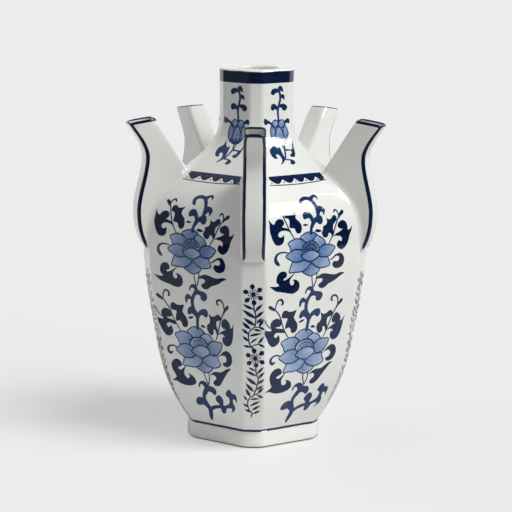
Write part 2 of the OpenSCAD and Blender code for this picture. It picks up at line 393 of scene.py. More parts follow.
# The five spouts. Flat hollow horns of porcelain, one on each corner strip, each folded from a thin
# sheet, seamed along its edges and stuck to the shoulder with slip, which is smoothed into the angle.
# A blue line is drawn down both outer edges and round the lip before the clear glaze.
spout_low, spout_mouth, lip_reach, mouth_depth = 148.6, 244.7, 100.7, 20.5
spout_wall, spout_edge, ledge_round, slip_size = 1.8, 3.0, 1.3, 3.4
spout_foot, spout_inside = 149.5, 153.0     # where the outside leaves its ledge, and where the hollow ends
mouth_open, mouth_bow, mouth_droop = 12.0, 0.26, 0.8
back_lean, mouth_dip = math.radians(33.5), math.tan(math.radians(9))
front_curve = (
    (spout_low, along(body_curve, spout_low) + 1.8, 0.6),
    (176.5, 94.3, 0),
    (217.5, 87.5, 0),
    (spout_mouth, lip_reach, 0.6),
)
width_curve = ((spout_low, 8.2, 0), (176.5, 8.7, 0), (spout_mouth, 8.2, 0))
spout_sunk, hollow_gap = -2.0, 0.15         # how far off the body's skin the outside and the hollow end
off_edge, off_lip = 50.0, 90.0              # distances that no painted line reaches
spout_lips = {                              # how wide the line round each lip is, against the usual
    "front": 1.3,
    "right_front": 1.0,
    "right_back": 0.5,
    "left_back": 0.5,
    "left_front": 1.0,
}


def back_line(z):
    return lip_reach - mouth_depth - (spout_mouth - z) * math.tan(back_lean)


spout_join = next(z / 100 for z in range(20000, 22000) if back_line(z / 100) > along(body_curve, z / 100))


def spout_ring(z, inset, sunk):
    """One ring of a spout at a height: radius, sideways, height and distance from the painted outer edge."""
    body = along(body_curve, z)
    front, half = along(front_curve, z) - inset, along(width_curve, min(z, spout_mouth)) - inset
    back = max(body + sunk, back_line(z) + inset)
    soft = max(0.4, min(spout_edge - inset, (front - back) / 2.2, half - 0.6))
    corner = math.pi / 4 * spout_edge
    run = [(0, (half - soft) * i / 3, (half - soft) * (3 - i) / 3 + corner) for i in range(3)]
    for i in range(9):
        a = math.pi / 2 * i / 8
        gap = abs(a - math.pi / 4) * spout_edge
        run.append((soft * (1 - math.cos(a)), half - soft + soft * math.sin(a), gap))
    deep = front - back - 2 * soft
    run += [(soft + deep * i / 7, half, corner + deep * i / 7) for i in range(1, 7)]
    for i in range(7):
        a = math.pi / 2 * i / 6
        run.append((front - back - soft + soft * math.sin(a), half - soft + soft * math.cos(a), off_edge))
    run += [(front - back, (half - soft) * (2 - i) / 2, off_edge) for i in range(1, 3)]
    run += [(x, -t, gap) for x, t, gap in run[-2:0:-1]]
    rise = min(max(0, (z - spout_join) / (spout_mouth - spout_join)), 1.2)
    middle = (along(front_curve, z) + max(body, back_line(z))) / 2
    opened = min(max(0, (z - spout_mouth + mouth_open) / mouth_open), 1) ** 2   # the mouth is pressed open
    ring = []
    for x, t, gap in run:
        bow = 1 - mouth_bow * opened * (1 - 2 * x / (front - back)) ** 4
        droop = mouth_droop * opened * max(0, 1 - gap / 5) ** 2
        ring.append((front - x, t * bow, z - (front - x - middle) * mouth_dip * rise - droop, gap))
    return ring


def strip_half(radius):
    return strip_base + strip_growth * radius


def body_reach(t, z):
    """How far out the body's skin is at a distance t to the side of a corner strip's middle."""
    radius = along(body_curve, z)
    past = abs(t) - strip_half(radius) + edge_round * math.tan(corner_turn / 2)
    if past <= 0:
        return radius
    bend = min(past, edge_round * math.sin(corner_turn))
    curve = math.sqrt(edge_round ** 2 - bend ** 2)
    return radius - edge_round + curve - (past - bend) * math.tan(corner_turn)


def slip_path():
    """Where a spout's sides and back meet the body, with the spout's skin direction there: up one side,
    over and down the other."""
    path = []
    side = Vector((0, 1, 0))
    low_end, high_end = 150.2, 205.0
    for i in range(24):
        z = low_end + (high_end - low_end) * i / 23
        half = along(width_curve, z)
        path.append((Vector((body_reach(half, z), half, z)), side))
    behind = Vector((-math.cos(back_lean), 0, math.sin(back_lean)))
    half = along(width_curve, 206)
    for i in range(11):
        a = math.pi / 2 * (1 - min(i, 7) / 7)
        t = half - spout_edge + spout_edge * math.sin(a) - max(0, i - 7) * (half - spout_edge) / 3
        low, high = 200.0, 212.0
        for _ in range(40):                 # halve the range until the back meets the body
            z = (low + high) / 2
            outside = back_line(z) + spout_edge * (1 - math.cos(a)) > body_reach(t, z)
            low, high = (low, z) if outside else (z, high)
        skin = (behind * math.cos(a) + side * math.sin(a)).normalized()
        path.append((Vector((body_reach(t, z), t, z)), skin))
    mirror = Matrix.Diagonal((1, -1, 1))
    return path + [(mirror @ p, mirror @ n) for p, n in path[-2::-1]]


def slip_fillet():
    """The smoothed slip in the angle: rows of points that run from the spout's skin to the body's."""
    path, rows = slip_path(), []
    for i, (p, skin) in enumerate(path):
        way = (path[min(i + 1, len(path) - 1)][0] - path[max(i - 1, 0)][0]).normalized()
        sideways = (body_reach(p.y + 0.05, p.z) - body_reach(p.y - 0.05, p.z)) / 0.1
        upward = (body_reach(p.y, p.z + 0.05) - body_reach(p.y, p.z - 0.05)) / 0.1
        body = Vector((1, -sideways, -upward)).normalized()
        off, away = skin.cross(way), body.cross(way)
        off = off if off.dot(body) > 0 else -off
        away = away if away.dot(skin) > 0 else -away
        size = min(slip_size, 0.5 * (along(front_curve, p.z) - along(body_curve, p.z)))
        first, last = p + off * size - skin * 0.03, p + away * size
        last.x = body_reach(last.y, last.z) - 0.04
        rows.append([first.lerp(p, s / 7).lerp(p.lerp(last, s / 7), s / 7) for s in range(8)])
    return rows


def woven(rows, start, closed):
    """The faces between rows of points, counted from a start, whose ends may meet."""
    wide = len(rows[0])
    faces = []
    for j in range(len(rows) - 1):
        for i in range(wide if closed else wide - 1):
            after = (i + 1) % wide
            here, above = start + j * wide, start + (j + 1) * wide
            faces.append((here + i, here + after, above + after, above + i))
    return faces


def spout_mesh(name, turn, lip_line):
    half_round = spout_wall / 2
    shoulder_of_lip, quarter = spout_mouth - half_round, half_round * math.pi / 2
    rings, lip = [], []
    for deep, low in quarter_round(6)[::-1]:                    # the rounded ledge at the lower end
        rings.append(spout_ring(spout_low - 0.4 + ledge_round * low, ledge_round * deep, spout_sunk))
        lip.append(off_lip)
    for i in range(1, 49):                                      # the outside
        z = spout_foot + (shoulder_of_lip - spout_foot) * i / 48
        rings.append(spout_ring(z, 0, spout_sunk))
        lip.append(shoulder_of_lip - z + quarter)
    for i in range(1, 10):                                      # over the lip
        a = math.pi * i / 9
        z = spout_mouth - half_round * (1 - math.sin(a))
        rings.append(spout_ring(z, half_round * (1 - math.cos(a)), spout_sunk))
        lip.append(half_round * (math.pi / 2 - a))
    for i in range(1, 21):                                      # down the inside
        down = (spout_mouth - spout_inside) * i / 20
        rings.append(spout_ring(shoulder_of_lip - down, spout_wall, hollow_gap))
        lip.append(-quarter - down)
    points, gaps, lips = [], [], []
    for ring, depth in zip(rings, lip):
        for r, t, z, gap in ring:
            points.append((r, t, z))
            gaps.append(gap if depth > -half_round else off_edge)
            lips.append(depth / lip_line)
    wide = len(rings[0])
    faces = woven(rings, 0, True)
    faces += [tuple(range(wide))[::-1], tuple(range(len(points) - wide, len(points)))]
    slip = slip_fillet()
    faces += woven(slip, len(points), False)
    for p in sum(slip, []):
        points.append(tuple(p))
        gaps.append(off_edge)
        lips.append(off_lip)
    mesh = bpy.data.meshes.new(name)
    spin = Matrix.Rotation(turn, 3, "Z")
    mesh.from_pydata([spin @ Vector(p) * MM for p in points], [], faces)
    for label, values in (("edge_gap", gaps), ("lip_gap", lips)):
        mesh.attributes.new(label, "FLOAT", "POINT").data.foreach_set("value", values)
    mesh.shade_smooth()
    return mesh


def spout_lines(tree, height, hand):
    """Where the blue lines go: along the outer edges, thinner at both ends, and round the lip."""
    edge = node(tree, "ShaderNodeAttribute", attribute_name="edge_gap").outputs["Fac"]
    lip = node(tree, "ShaderNodeAttribute", attribute_name="lip_gap").outputs["Fac"]
    start = ramp(tree, height, 149.0 * MM, 151.5 * MM, 0.0, 1.85)
    finish = ramp(tree, height, 225.0 * MM, 243.0 * MM, 1.85, 1.4)
    wide = add(tree, maths(tree, "MINIMUM", start, finish), swing(tree, hand, 0.7))
    line = ramp(tree, less(tree, edge, wide), 0.12, -0.12)
    low = ramp(tree, add(tree, lip, times(tree, hand, 0.5)), 2.75, 2.50)
    high = ramp(tree, lip, -1.6, -1.35)
    return maths(tree, "MAXIMUM", line, times(tree, low, high))


spout_glaze = glaze("spout_glaze", lined=spout_lines)
for k, (place, lip_line) in enumerate(spout_lips.items()):
    mesh = spout_mesh("glazed_spout_" + place, corner_at(k), lip_line)
    mesh.materials.append(spout_glaze)
    spout = bpy.data.objects.new("glazed_spout_" + place, mesh)
    bpy.context.scene.collection.objects.link(spout)
    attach(spout, "root")
    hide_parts("spout_" + place)

# The sprays on the five wide faces. Two lotus flowers one above the other on a leafy stem, brushed in
# cobalt on the dry clay: dark leaves and stems, and petals in a thin wash inside a darker line.
# Each shape is drawn flat in mm, across and up the face from the foot, and then laid on the wall.
spray_leaves = {
    "stem_left": ((-5, 25.5), (-8, 26.2), (-11, 25.3), (-13, 22.8), (-13.8, 20.3), (-12.5, 18.5),
        (-10, 18.3), (-7.5, 19.2), (-5, 17.5), (-3.5, 16), (-2, 19), (-3.5, 23)),
    "stem_crown": ((-7.4, 35), (-7, 37.5), (-5.2, 40), (-2.5, 41.2), (0, 40.8), (2, 39), (3.3, 37.6),
        (5.5, 37.5), (8, 36.3), (9, 34), (8.3, 31.5), (6.3, 30.2), (4.8, 31.5), (2.8, 32.6), (0.8, 32),
        (-1.2, 29.5), (-3.5, 30.5), (-2.3, 33.5), (-2.2, 36), (-3.6, 37.9), (-5.2, 37.6), (-6.3, 35.2)),
    "stem_knob": ((9, 20), (8.6, 22.8), (6.8, 24.8), (6.4, 26.6), (8, 29.5), (10.5, 30.9), (12.8, 29.8),
        (13.7, 27), (13, 23.5), (12.6, 22), (15, 20.5), (14.3, 18.2), (13, 15.6), (11, 14.2), (9.4, 15),
        (9.2, 17.8)),
    "stem_right": ((19.2, 24), (20, 27), (19.8, 30), (17.4, 32), (18.4, 34.8), (20.6, 37.2), (22.4, 37.3),
        (23.8, 34.5), (25.6, 34.4), (27.3, 33), (27.3, 30.5), (26.2, 26.2), (25.4, 29), (23.6, 29.3),
        (22.8, 26), (23.6, 23.2), (23, 20.2), (21.2, 18.2), (18.2, 16.4), (20, 19.2), (19.6, 20.6),
        (17, 20.6)),
    "low_left": ((-16.6, 51), (-18.8, 49.6), (-21.3, 47.6), (-23.6, 47.6), (-24.2, 48.8), (-21.5, 50.2),
        (-19.9, 51.5), (-20.6, 54.2), (-23.2, 55.9), (-26.5, 55.4), (-29.2, 53.4), (-30.4, 50.3),
        (-30, 46.6), (-28.4, 43.2), (-27.4, 40.8), (-29.6, 38.8), (-32.2, 36.6), (-28.6, 37), (-25, 35.6),
        (-20.5, 34.6), (-15.5, 34.9), (-11.2, 36.4), (-9, 38.6), (-9.2, 41.6), (-11.5, 44.2),
        (-15.4, 45.3), (-14.2, 43.4), (-15.2, 41.4), (-17.2, 41.2), (-18.8, 43.3), (-18.9, 46.6)),
    "low_curl": ((15.6, 62.8), (18, 65.2), (21, 68), (24.2, 69.2), (27.2, 67.8), (28.6, 64.6),
        (28.2, 60.6), (25.8, 57.3), (22.4, 56), (20, 57), (19.3, 58.8), (21.4, 59.6), (23.1, 61),
        (23.2, 63.4), (21.6, 65), (18.8, 64.6)),
    "low_right": ((6, 47.2), (9, 49.8), (12.5, 50.9), (16.5, 51), (20, 53), (23, 54.8), (26.3, 55.2),
        (23.6, 52.4), (20.8, 49), (17.6, 44.6), (14.4, 40.4), (11.4, 38.7), (8.8, 39), (7.7, 40.9),
        (9, 43), (11, 44.6), (10.8, 46.8), (9, 47.8)),
    "mid_a": ((-9.3, 93.6), (-9.4, 96.6), (-7.6, 99.2), (-4.8, 100), (-2.2, 98.6), (0, 96), (1, 93),
        (-1.5, 91.5), (-3.5, 93.2), (-5.6, 94.4), (-7.6, 93.4)),
    "mid_b": ((0, 95.5), (2, 97.8), (5, 99.4), (8, 99.5), (9.8, 97.5), (9.4, 94.8), (7.8, 93), (6, 93.6),
        (4.4, 94.6), (2.4, 93.6), (1, 91.5), (-1, 92)),
    "mid_c": ((-10.4, 102.6), (-10.8, 106), (-9.4, 108.8), (-7, 109.4), (-5, 107.8), (-3.2, 105.8),
        (-4.2, 104), (-6.2, 105.6), (-8.2, 105.2), (-9.2, 102.6)),
    "mid_crown": ((-6.4, 112.8), (-5.6, 115.4), (-3.6, 117.4), (-1, 117.6), (1, 116), (2, 114),
        (4.6, 113.2), (8, 112.6), (10.2, 110.6), (9.8, 107.6), (7.6, 105.6), (5, 106), (3.8, 107.8),
        (4, 109.2), (1.6, 110), (-0.6, 109.2), (-2.4, 106.6), (-4, 108), (-2, 110.6), (-1, 113),
        (-2.2, 114.6), (-4.2, 114.6), (-5.4, 112.4)),
    "dash_a": ((-9.6, 90.4), (-7.2, 92), (-4.4, 92.2), (-5.4, 90.8), (-7.6, 90)),
    "dash_b": ((1.8, 85.6), (3.6, 86.8), (5.4, 86.2), (6.4, 84.8), (4.2, 84.6), (2.6, 85)),
    "left_mid_bud": ((-32, 101.8), (-33.8, 102), (-36.4, 103), (-38.6, 104.6), (-38.4, 106),
        (-36.4, 106.2), (-34, 104.6), (-32.2, 103.4)),
    "left_mid_a": ((-25.6, 97.8), (-24.6, 100.4), (-22, 101), (-19, 99.7), (-15.8, 99.8), (-12.7, 100.3),
        (-13.6, 97.2), (-14.3, 94.8), (-12.6, 92.2), (-10.8, 89.8), (-10.1, 86.6), (-11, 83.6),
        (-13.4, 82.5), (-15.6, 83.6), (-16.4, 86), (-18.2, 87.4), (-21, 86.6), (-21.4, 89.6),
        (-20.2, 94.4), (-22.8, 95), (-25.2, 95.6)),
    "left_mid_b": ((-21.2, 85.6), (-24.4, 87), (-28, 87.7), (-30.4, 88.6), (-28.4, 88.9), (-26, 89.2),
        (-25.2, 91.2), (-26.4, 94), (-29.4, 95.6), (-33, 94.8), (-35.2, 92), (-34.6, 89), (-33.8, 86.6),
        (-36.6, 86.6), (-39.2, 87.2), (-39.3, 84.2), (-37.6, 81.2), (-35.6, 77.4), (-32.8, 74.4),
        (-30, 73.6), (-27.2, 74.8), (-25.2, 77.4), (-25.6, 80.4), (-27, 82.4), (-28.6, 80.6),
        (-30.4, 81.2), (-30.6, 83.2), (-28, 84.4), (-24.6, 83.8), (-21.6, 83.8)),
    "right_mid_bud": ((24, 98.6), (25, 101.4), (27, 104), (28.8, 105.2), (29.8, 103.8), (28.6, 101.8),
        (26.4, 100), (24.8, 97.8)),
    "right_mid_a": ((10.4, 95.9), (13.2, 94.5), (16, 95.2), (18.6, 96.9), (21, 95.8), (21.8, 93.2),
        (19.4, 92), (17.2, 91), (16.8, 88), (17.6, 84.4), (16.6, 80.8), (15.2, 84.2), (13.5, 84.4),
        (13.6, 82), (12.2, 80), (10.2, 79.8), (8.4, 82), (7.5, 85), (8.4, 87.6), (10.4, 89), (11.2, 92)),
    "right_mid_b": ((17, 80.6), (19.4, 82.8), (22.6, 84.8), (25.2, 86.3), (23, 86.4), (21.4, 88.6),
        (22.2, 92), (24.8, 94.4), (27.8, 93), (29.6, 90), (29.6, 87.6), (31.4, 88.6), (33.2, 91.4),
        (32.4, 87.6), (31.8, 83.4), (30.8, 79), (28.8, 74.8), (25.6, 72.8), (22.4, 74), (21.1, 77),
        (21.8, 79.8), (23.6, 80), (22, 81.8), (19.4, 81.6)),
    "up_left": ((-16.2, 129.4), (-19.4, 127.6), (-22.6, 125.6), (-25.2, 124.6), (-27, 124.8),
        (-26.2, 125.8), (-24.4, 126.6), (-23.9, 128.6), (-25.4, 130.8), (-28.6, 131.3), (-31.6, 129.8),
        (-33, 126.8), (-33, 123.8), (-31, 121.6), (-30.8, 120.6), (-34, 120.4), (-38.8, 120.8),
        (-36.4, 119), (-33.2, 116.9), (-29, 115.8), (-24.6, 114.9), (-20.4, 113.8), (-16.6, 113.6),
        (-13.2, 115.2), (-11.8, 118), (-12.4, 121.4), (-14.8, 123.6), (-18.2, 124.2), (-17, 122.4),
        (-17.6, 120.3), (-19.6, 120.2), (-20.9, 122.2), (-20.4, 125)),
    "up_curl": ((14.6, 135.4), (17.4, 137.6), (20.4, 139.6), (24, 140.5), (26.8, 139), (28.4, 135.6),
        (27.6, 131.6), (24.8, 129.4), (21, 129), (18.4, 130.4), (17.4, 132.6), (18.8, 134.6),
        (20.6, 134.4), (22.6, 134.6), (23.6, 136.2), (22.8, 138.2), (20.2, 138), (17.4, 136.2)),
    "up_right": ((2.6, 122.6), (5, 124.8), (9, 126.2), (13, 125.8), (17.4, 124.8), (21.4, 124.6),
        (25, 125.6), (29.2, 125), (25.6, 123.2), (22.6, 121.2), (18.6, 119.2), (15, 118), (12, 115.8),
        (9, 114.9), (6.6, 115.8), (5.4, 117.8), (7, 119.2), (8.8, 120.4), (8.8, 122.2), (6.4, 122.8)),
    "top_a": ((-8, 168.8), (-7.8, 171.8), (-5, 173.8), (-2, 173.2), (0.2, 170.6), (1.4, 167.4), (0, 164),
        (-1.6, 166.4), (-2.8, 168.4), (-5, 168.2), (-6.8, 167.8)),
    "top_b": ((0, 166), (2.4, 168.6), (5, 169.2), (7.6, 169.8), (9.2, 168), (9.2, 165.2), (7.6, 163.2),
        (5.4, 163.4), (3.4, 164.8), (1.4, 163.2), (-0.4, 161), (-1.8, 163)),
    "top_knob": ((6.6, 176), (8.6, 177), (11, 176.4), (12.8, 174.6), (12.6, 172), (10.6, 169.6),
        (10.4, 171.6), (9.2, 172.4), (7.8, 171), (6.6, 168.6)),
    "top_hook": ((2.6, 184.6), (5.4, 186), (8, 186.4), (9.6, 184.6), (9.4, 181.8), (8.2, 183.6),
        (6.6, 184.2), (5, 182.4), (3.2, 182.6)),
    "dash_c": ((-9.2, 163.6), (-7.6, 164.6), (-5.4, 164.2), (-4.2, 163.6), (-6, 163), (-8, 163)),
    "dash_d": ((1, 158.6), (3, 159.8), (5.4, 159.4), (7.4, 158.4), (5.4, 157.4), (3, 157.6)),
    "left_top_bud": ((-26.4, 174), (-28.4, 174.4), (-30, 176), (-31.4, 177.8), (-30.4, 179),
        (-28.6, 178.4), (-27, 176.8)),
    "left_top_a": ((-24.6, 172), (-23.4, 174.6), (-20.8, 175.1), (-18.4, 173.5), (-15.8, 173.7),
        (-12.8, 174.7), (-14.3, 171.8), (-14.6, 169.2), (-12.6, 167.2), (-10.8, 164.8), (-10.4, 161.2),
        (-11.8, 158.5), (-14.2, 158), (-16, 159.4), (-17, 162), (-19.2, 162.4), (-21.4, 163.2),
        (-20.8, 167), (-21.4, 169.4), (-24, 170.2)),
    "left_top_b": ((-20.6, 160.8), (-23.4, 162.6), (-26, 163.4), (-28, 164), (-26.2, 165.4),
        (-25.6, 167.4), (-27, 169.4), (-30, 170), (-33, 168.6), (-34.8, 166.4), (-37, 167.6), (-39.2, 171),
        (-38.8, 167), (-39.2, 162.6), (-38.4, 158.4), (-36.6, 154), (-34, 151.2), (-30.6, 150.8),
        (-27.8, 152.4), (-26.8, 155.2), (-27.2, 158.2), (-28.6, 156.8), (-30.8, 156.8), (-32, 158.4),
        (-30.6, 160.4), (-27.6, 161.2), (-24, 160.8), (-21.2, 159.6)),
    "right_top_bud": ((24, 167.4), (24.6, 169.2), (26.6, 171.4), (28.6, 172.4), (29.6, 171), (28.6, 169.2),
        (26.4, 168), (24.8, 166.4)),
    "right_top_a": ((12.8, 167.4), (14.6, 166.2), (17, 166.6), (19.2, 168.6), (21.6, 168.4), (22.2, 165.8),
        (20.2, 163.4), (18.6, 162), (18, 159), (18.4, 155.6), (17.2, 152.8), (15.6, 155.6), (13.8, 156),
        (13, 154), (11, 152.8), (8.8, 153.8), (7.4, 156.6), (8.6, 159), (9, 161.4), (12, 162.6), (13, 164.8)),
    "right_top_b": ((18, 153.6), (21, 155.2), (24.4, 156.6), (27, 158.4), (25.2, 158.2), (22.8, 159.6),
        (22.6, 162.2), (25, 164), (27.6, 164.6), (30.2, 163), (31.4, 160.2), (31.6, 157.4), (33.6, 157.6),
        (35.6, 159.6), (34.8, 156.2), (33, 152.6), (31.8, 148.6), (29.6, 145), (26.6, 143), (23.4, 143.6),
        (21.4, 145.8), (21.6, 148.4), (23.6, 150), (25.2, 149), (26, 151), (24.4, 152.8), (21.2, 153.4)),
}
spray_strokes = {
    "trunk": ((-3.8, 6, 2), (-3.2, 9, 3.4), (-2.4, 12, 3.8), (-1.9, 15, 4), (-2.3, 18, 4), (-3.2, 21, 3.4),
        (-4, 24, 2.6), (-4.3, 27, 3), (-3.2, 30, 3.4), (-1.2, 33, 3.8), (1, 35.5, 4), (3, 36, 3.6)),
    "branch": ((-1, 16, 3), (2, 18.2, 3), (5, 19.5, 3.1), (8, 20.2, 3), (10.5, 20.5, 3), (14, 20.8, 2.8),
        (17, 22, 2.8), (19.5, 23.5, 3), (21, 26, 3), (21.5, 29, 3), (21.5, 32, 3)),
    "low_tendril": ((-23.3, 65.5, 0.9), (-26, 66.4, 1.2), (-29, 66, 1.4), (-31.2, 64.5, 1.9),
        (-31.7, 62.5, 2.3), (-30.9, 60.8, 2.5), (-29.2, 60.2, 2.2), (-27.8, 61.2, 1.3)),
    "low_stalk_a": ((0.2, 48.6, 1.05), (0.8, 45, 1.05), (1.8, 41.5, 1.05), (2.8, 39, 1.05)),
    "low_stalk_b": ((5, 48.5, 1.05), (4.8, 45, 1.05), (4, 41.5, 1.05), (3, 39, 1.05)),
    "mid_trunk": ((-1.3, 83.5, 2.6), (-0.9, 88.5, 2.8), (-0.6, 92, 3), (-1.8, 95.5, 3), (-3.6, 99, 3),
        (-4.2, 103, 3.2), (-3.4, 107, 3), (-1.6, 110, 2.8), (0.2, 112.5, 3), (0.4, 114.6, 2.6)),
    "left_mid_stem": ((-17.5, 79.3, 0.8), (-20, 82.5, 1), (-22.3, 86, 1.1), (-24.3, 90, 1.1),
        (-25.8, 94, 1.1), (-28, 98, 1.1), (-30.5, 101, 1.1), (-33, 103, 1.1)),
    "left_mid_curl": ((-32, 103.5, 1), (-31.8, 106, 1.1), (-30.5, 109, 1.3), (-28.4, 110, 1.5),
        (-26.5, 109, 1.8), (-25.8, 106.8, 1.9), (-26.8, 105.8, 1.2)),
    "left_mid_tail": ((-35, 88.8, 0.9), (-37.5, 90.8, 0.9), (-39.5, 93.5, 0.9), (-40.5, 95.6, 0.6)),
    "right_mid_stem": ((14.8, 76, 0.8), (16.8, 80, 1), (18.2, 84, 1.1), (19.5, 88, 1.1), (21.5, 93, 1.1),
        (24, 98, 1.1), (25.5, 101, 1.1)),
    "right_mid_curl": ((25.2, 101.5, 1), (25, 105, 1.2), (23.5, 107.5, 1.4), (21.2, 108.3, 1.6),
        (19.3, 107.2, 1.8), (19, 105.2, 1.6), (20.2, 104.2, 1)),
    "up_tendril": ((-24, 144.8, 0.9), (-27, 145.3, 1.2), (-30.5, 145.2, 1.4), (-33.3, 143.8, 2.0),
        (-34.5, 141.5, 2.6), (-34.1, 139.2, 3.0), (-32.6, 137.4, 2.8), (-31.2, 136.4, 1.5)),
    "up_stalk_a": ((-1, 125.5, 1.05), (-0.6, 122, 1.05), (0, 119, 1.05), (0.6, 116.5, 1.05)),
    "up_stalk_b": ((3.8, 127.5, 1.05), (3.4, 124, 1.05), (2.6, 120, 1.05), (1.4, 117, 1.05)),
    "top_trunk": ((-2.4, 157.5, 2.6), (-1.8, 161, 2.6), (-0.5, 164, 2.6), (0.5, 167, 2.6)),
    "top_c": ((5, 167, 2.2), (5.8, 172, 2.8), (5.8, 176, 3), (4.5, 180, 3), (2.2, 183, 3), (-1, 184, 3),
        (-4, 183.4, 3), (-6, 181.6, 3.2), (-6.3, 179.5, 3.4), (-5.6, 177.8, 2.6)),
    "left_top_stem": ((-17.5, 154.5, 0.8), (-20, 158, 1), (-22, 161.5, 1.1), (-23.5, 165.5, 1.1),
        (-25, 169.5, 1.1), (-26, 173, 1.1), (-27.5, 175.5, 1.1)),
    "left_top_curl": ((-27, 175.8, 1), (-26.2, 178, 1.2), (-24.6, 179.5, 1.5), (-23, 179.2, 1.6),
        (-22.4, 177.8, 1.2)),
    "right_top_stem": ((14, 148.5, 0.8), (15.8, 151.5, 1), (17.8, 154.6, 1.1), (19.4, 158.5, 1.1),
        (21.2, 162.5, 1.1), (23.4, 166.2, 1.1), (24.6, 168, 1.1)),
    "right_top_curl": ((24.2, 168.5, 1), (24, 170.6, 1.1), (22.8, 172.4, 1.3), (21.4, 172.6, 1.5),
        (20.6, 171.2, 1.2)),
}
lower_flower = {
    "top_left": ((-7, 75.5), (-9, 77.5), (-11.5, 79.8), (-8.5, 82.5), (-5, 84.2), (-1, 84.3), (2.5, 82.8),
        (5, 80.2), (2, 78.5), (0, 76.5)),
    "top_right": ((0, 76.3), (2, 78.6), (5, 80.1), (8.5, 79.6), (11.2, 77.6), (12.6, 75.2), (10, 74.3),
        (7, 71.5), (3.5, 75)),
    "right": ((6.3, 70.8), (8.5, 73.2), (12, 75), (16, 75), (20.2, 74.4), (19.6, 70.5), (17.5, 66.8),
        (14.3, 64), (10.5, 63.6), (8, 66), (7.5, 68.5)),
    "low_right": ((0.5, 58), (2, 60.3), (5, 62.6), (9.5, 63.8), (14.8, 64), (15.8, 60.8), (17.4, 57),
        (13.5, 54.3), (9.2, 53.6), (5.5, 54.5), (2.3, 56.4)),
    "low_middle": ((0.2, 57.3), (2.5, 56), (5.5, 54.4), (9.3, 53.4), (7.5, 50.8), (4.5, 49), (1, 48.6),
        (-2.5, 49.6), (-6, 51.9), (-3, 53.5), (-1, 55.4)),
    "low_left": ((0.2, 57.6), (-1.6, 55), (-5, 52.4), (-9.5, 51.5), (-14, 51.7), (-18.4, 51.6),
        (-17.8, 55.2), (-16.4, 58.6), (-12.5, 58.4), (-8.5, 59.4), (-5, 61.3), (-1.5, 60)),
    "left": ((-24.2, 63.8), (-21, 66.7), (-17.3, 68.8), (-12.8, 69.4), (-9.5, 68.6), (-6.8, 66.8),
        (-9.4, 64.2), (-6.3, 61.8), (-9, 59.6), (-13, 58.5), (-17.5, 58.9), (-21.3, 61.3)),
    "high_left": ((-23.6, 75.8), (-20, 78), (-15.5, 79.3), (-11, 78.6), (-7, 75.7), (-9.8, 73),
        (-10.6, 70), (-13, 69.5), (-16.5, 69.2), (-19.6, 68.4), (-21.2, 71.8)),
    "seed_head": ((-9.8, 70), (-8.2, 73.5), (-4.5, 75.8), (0, 76.3), (4, 75.2), (6.6, 72.4), (6.5, 69.5),
        (3, 69.6), (0, 69.9), (-4, 68.9), (-7.5, 67.4)),
    "cup": ((-9.2, 64.5), (-6.5, 67.4), (-3, 69.2), (1, 69.9), (5, 68.9), (8.2, 66), (6, 63), (2.5, 61),
        (-0.5, 60.2), (-3.5, 61), (-6.5, 62.5)),
}
upper_flower = {
    "top_left": ((-7.5, 151), (-10, 153.2), (-12.3, 155), (-8.8, 157.3), (-5, 158.4), (-1, 158),
        (2.8, 156), (0.8, 153.8), (-1, 151.6)),
    "top_right": ((-1, 151.5), (0.8, 153.8), (3, 155.2), (6, 154), (9, 152), (10.8, 148.8), (8, 147.6),
        (5.4, 145.8), (3, 149)),
    "right": ((4, 144.2), (6.5, 146.4), (10.5, 147.8), (14.5, 147.6), (19.5, 145.4), (17.5, 142),
        (15, 139.6), (11.5, 138.6), (7.5, 138.6), (4.5, 139.5), (6, 140.8), (3.6, 143)),
    "low_right": ((-2.5, 136.4), (1, 137.2), (4.5, 139.3), (8.5, 138.7), (12.5, 138.7), (14, 136),
        (15, 132.6), (11, 131), (6, 130.8), (2, 132.5), (-1, 134.8)),
    "low_middle": ((-2.3, 135.4), (0, 133.6), (3.5, 131.4), (6, 130.6), (4.5, 128), (1, 126.2),
        (-3, 125.6), (-6.5, 127), (-10, 129.3), (-6.5, 131.2), (-4, 133.4)),
    "low_left": ((-2.3, 135.6), (-4.5, 132.8), (-8, 130.2), (-12, 129.4), (-17, 129.6), (-21.8, 129.8),
        (-21, 133.4), (-19.2, 137.2), (-14.5, 137), (-9.5, 137.8), (-5.5, 136.6)),
    "left": ((-25.3, 142), (-21.5, 145), (-17.5, 146.4), (-13, 146), (-9.8, 144.8), (-11.2, 142),
        (-11, 140.4), (-8.4, 138.2), (-12, 137), (-16.5, 137), (-20.5, 138.6)),
    "high_left": ((-23.3, 151.7), (-19, 153.8), (-15, 154.4), (-11.5, 153.4), (-7.5, 151), (-9.8, 148.6),
        (-10.2, 146), (-13.5, 146.4), (-17, 146.6), (-20.3, 145.6), (-21.6, 148.6)),
    "seed_head": ((-10.2, 145.2), (-9, 148.4), (-6, 150.8), (-2.5, 151.6), (1, 150.6), (3.8, 148),
        (5, 145.4), (4.2, 143.2), (1, 144.6), (-3, 145), (-7, 144.2)),
    "cup": ((-11, 140.6), (-8.5, 143), (-5, 144.4), (-1, 144.6), (2.5, 143.2), (5.6, 140.8), (2.5, 138.4),
        (-1, 136.8), (-4.5, 136.8), (-8, 138.2)),
}
upper_head = Vector((-2.8, 144.6))
lower_head_arc = (
    (-7.2, 68.8, 0.6), (-6.2, 71.6, 0.7), (-3.4, 73.5, 0.7),
    (0.4, 73.8, 0.7), (3.6, 72.4, 0.7), (4.9, 70.2, 0.6),
)
stem_tone, petal_line_tone = 0.40, 0.55     # 0 is the darkest blue of a finish and 1 its palest
petal_line = 0.95


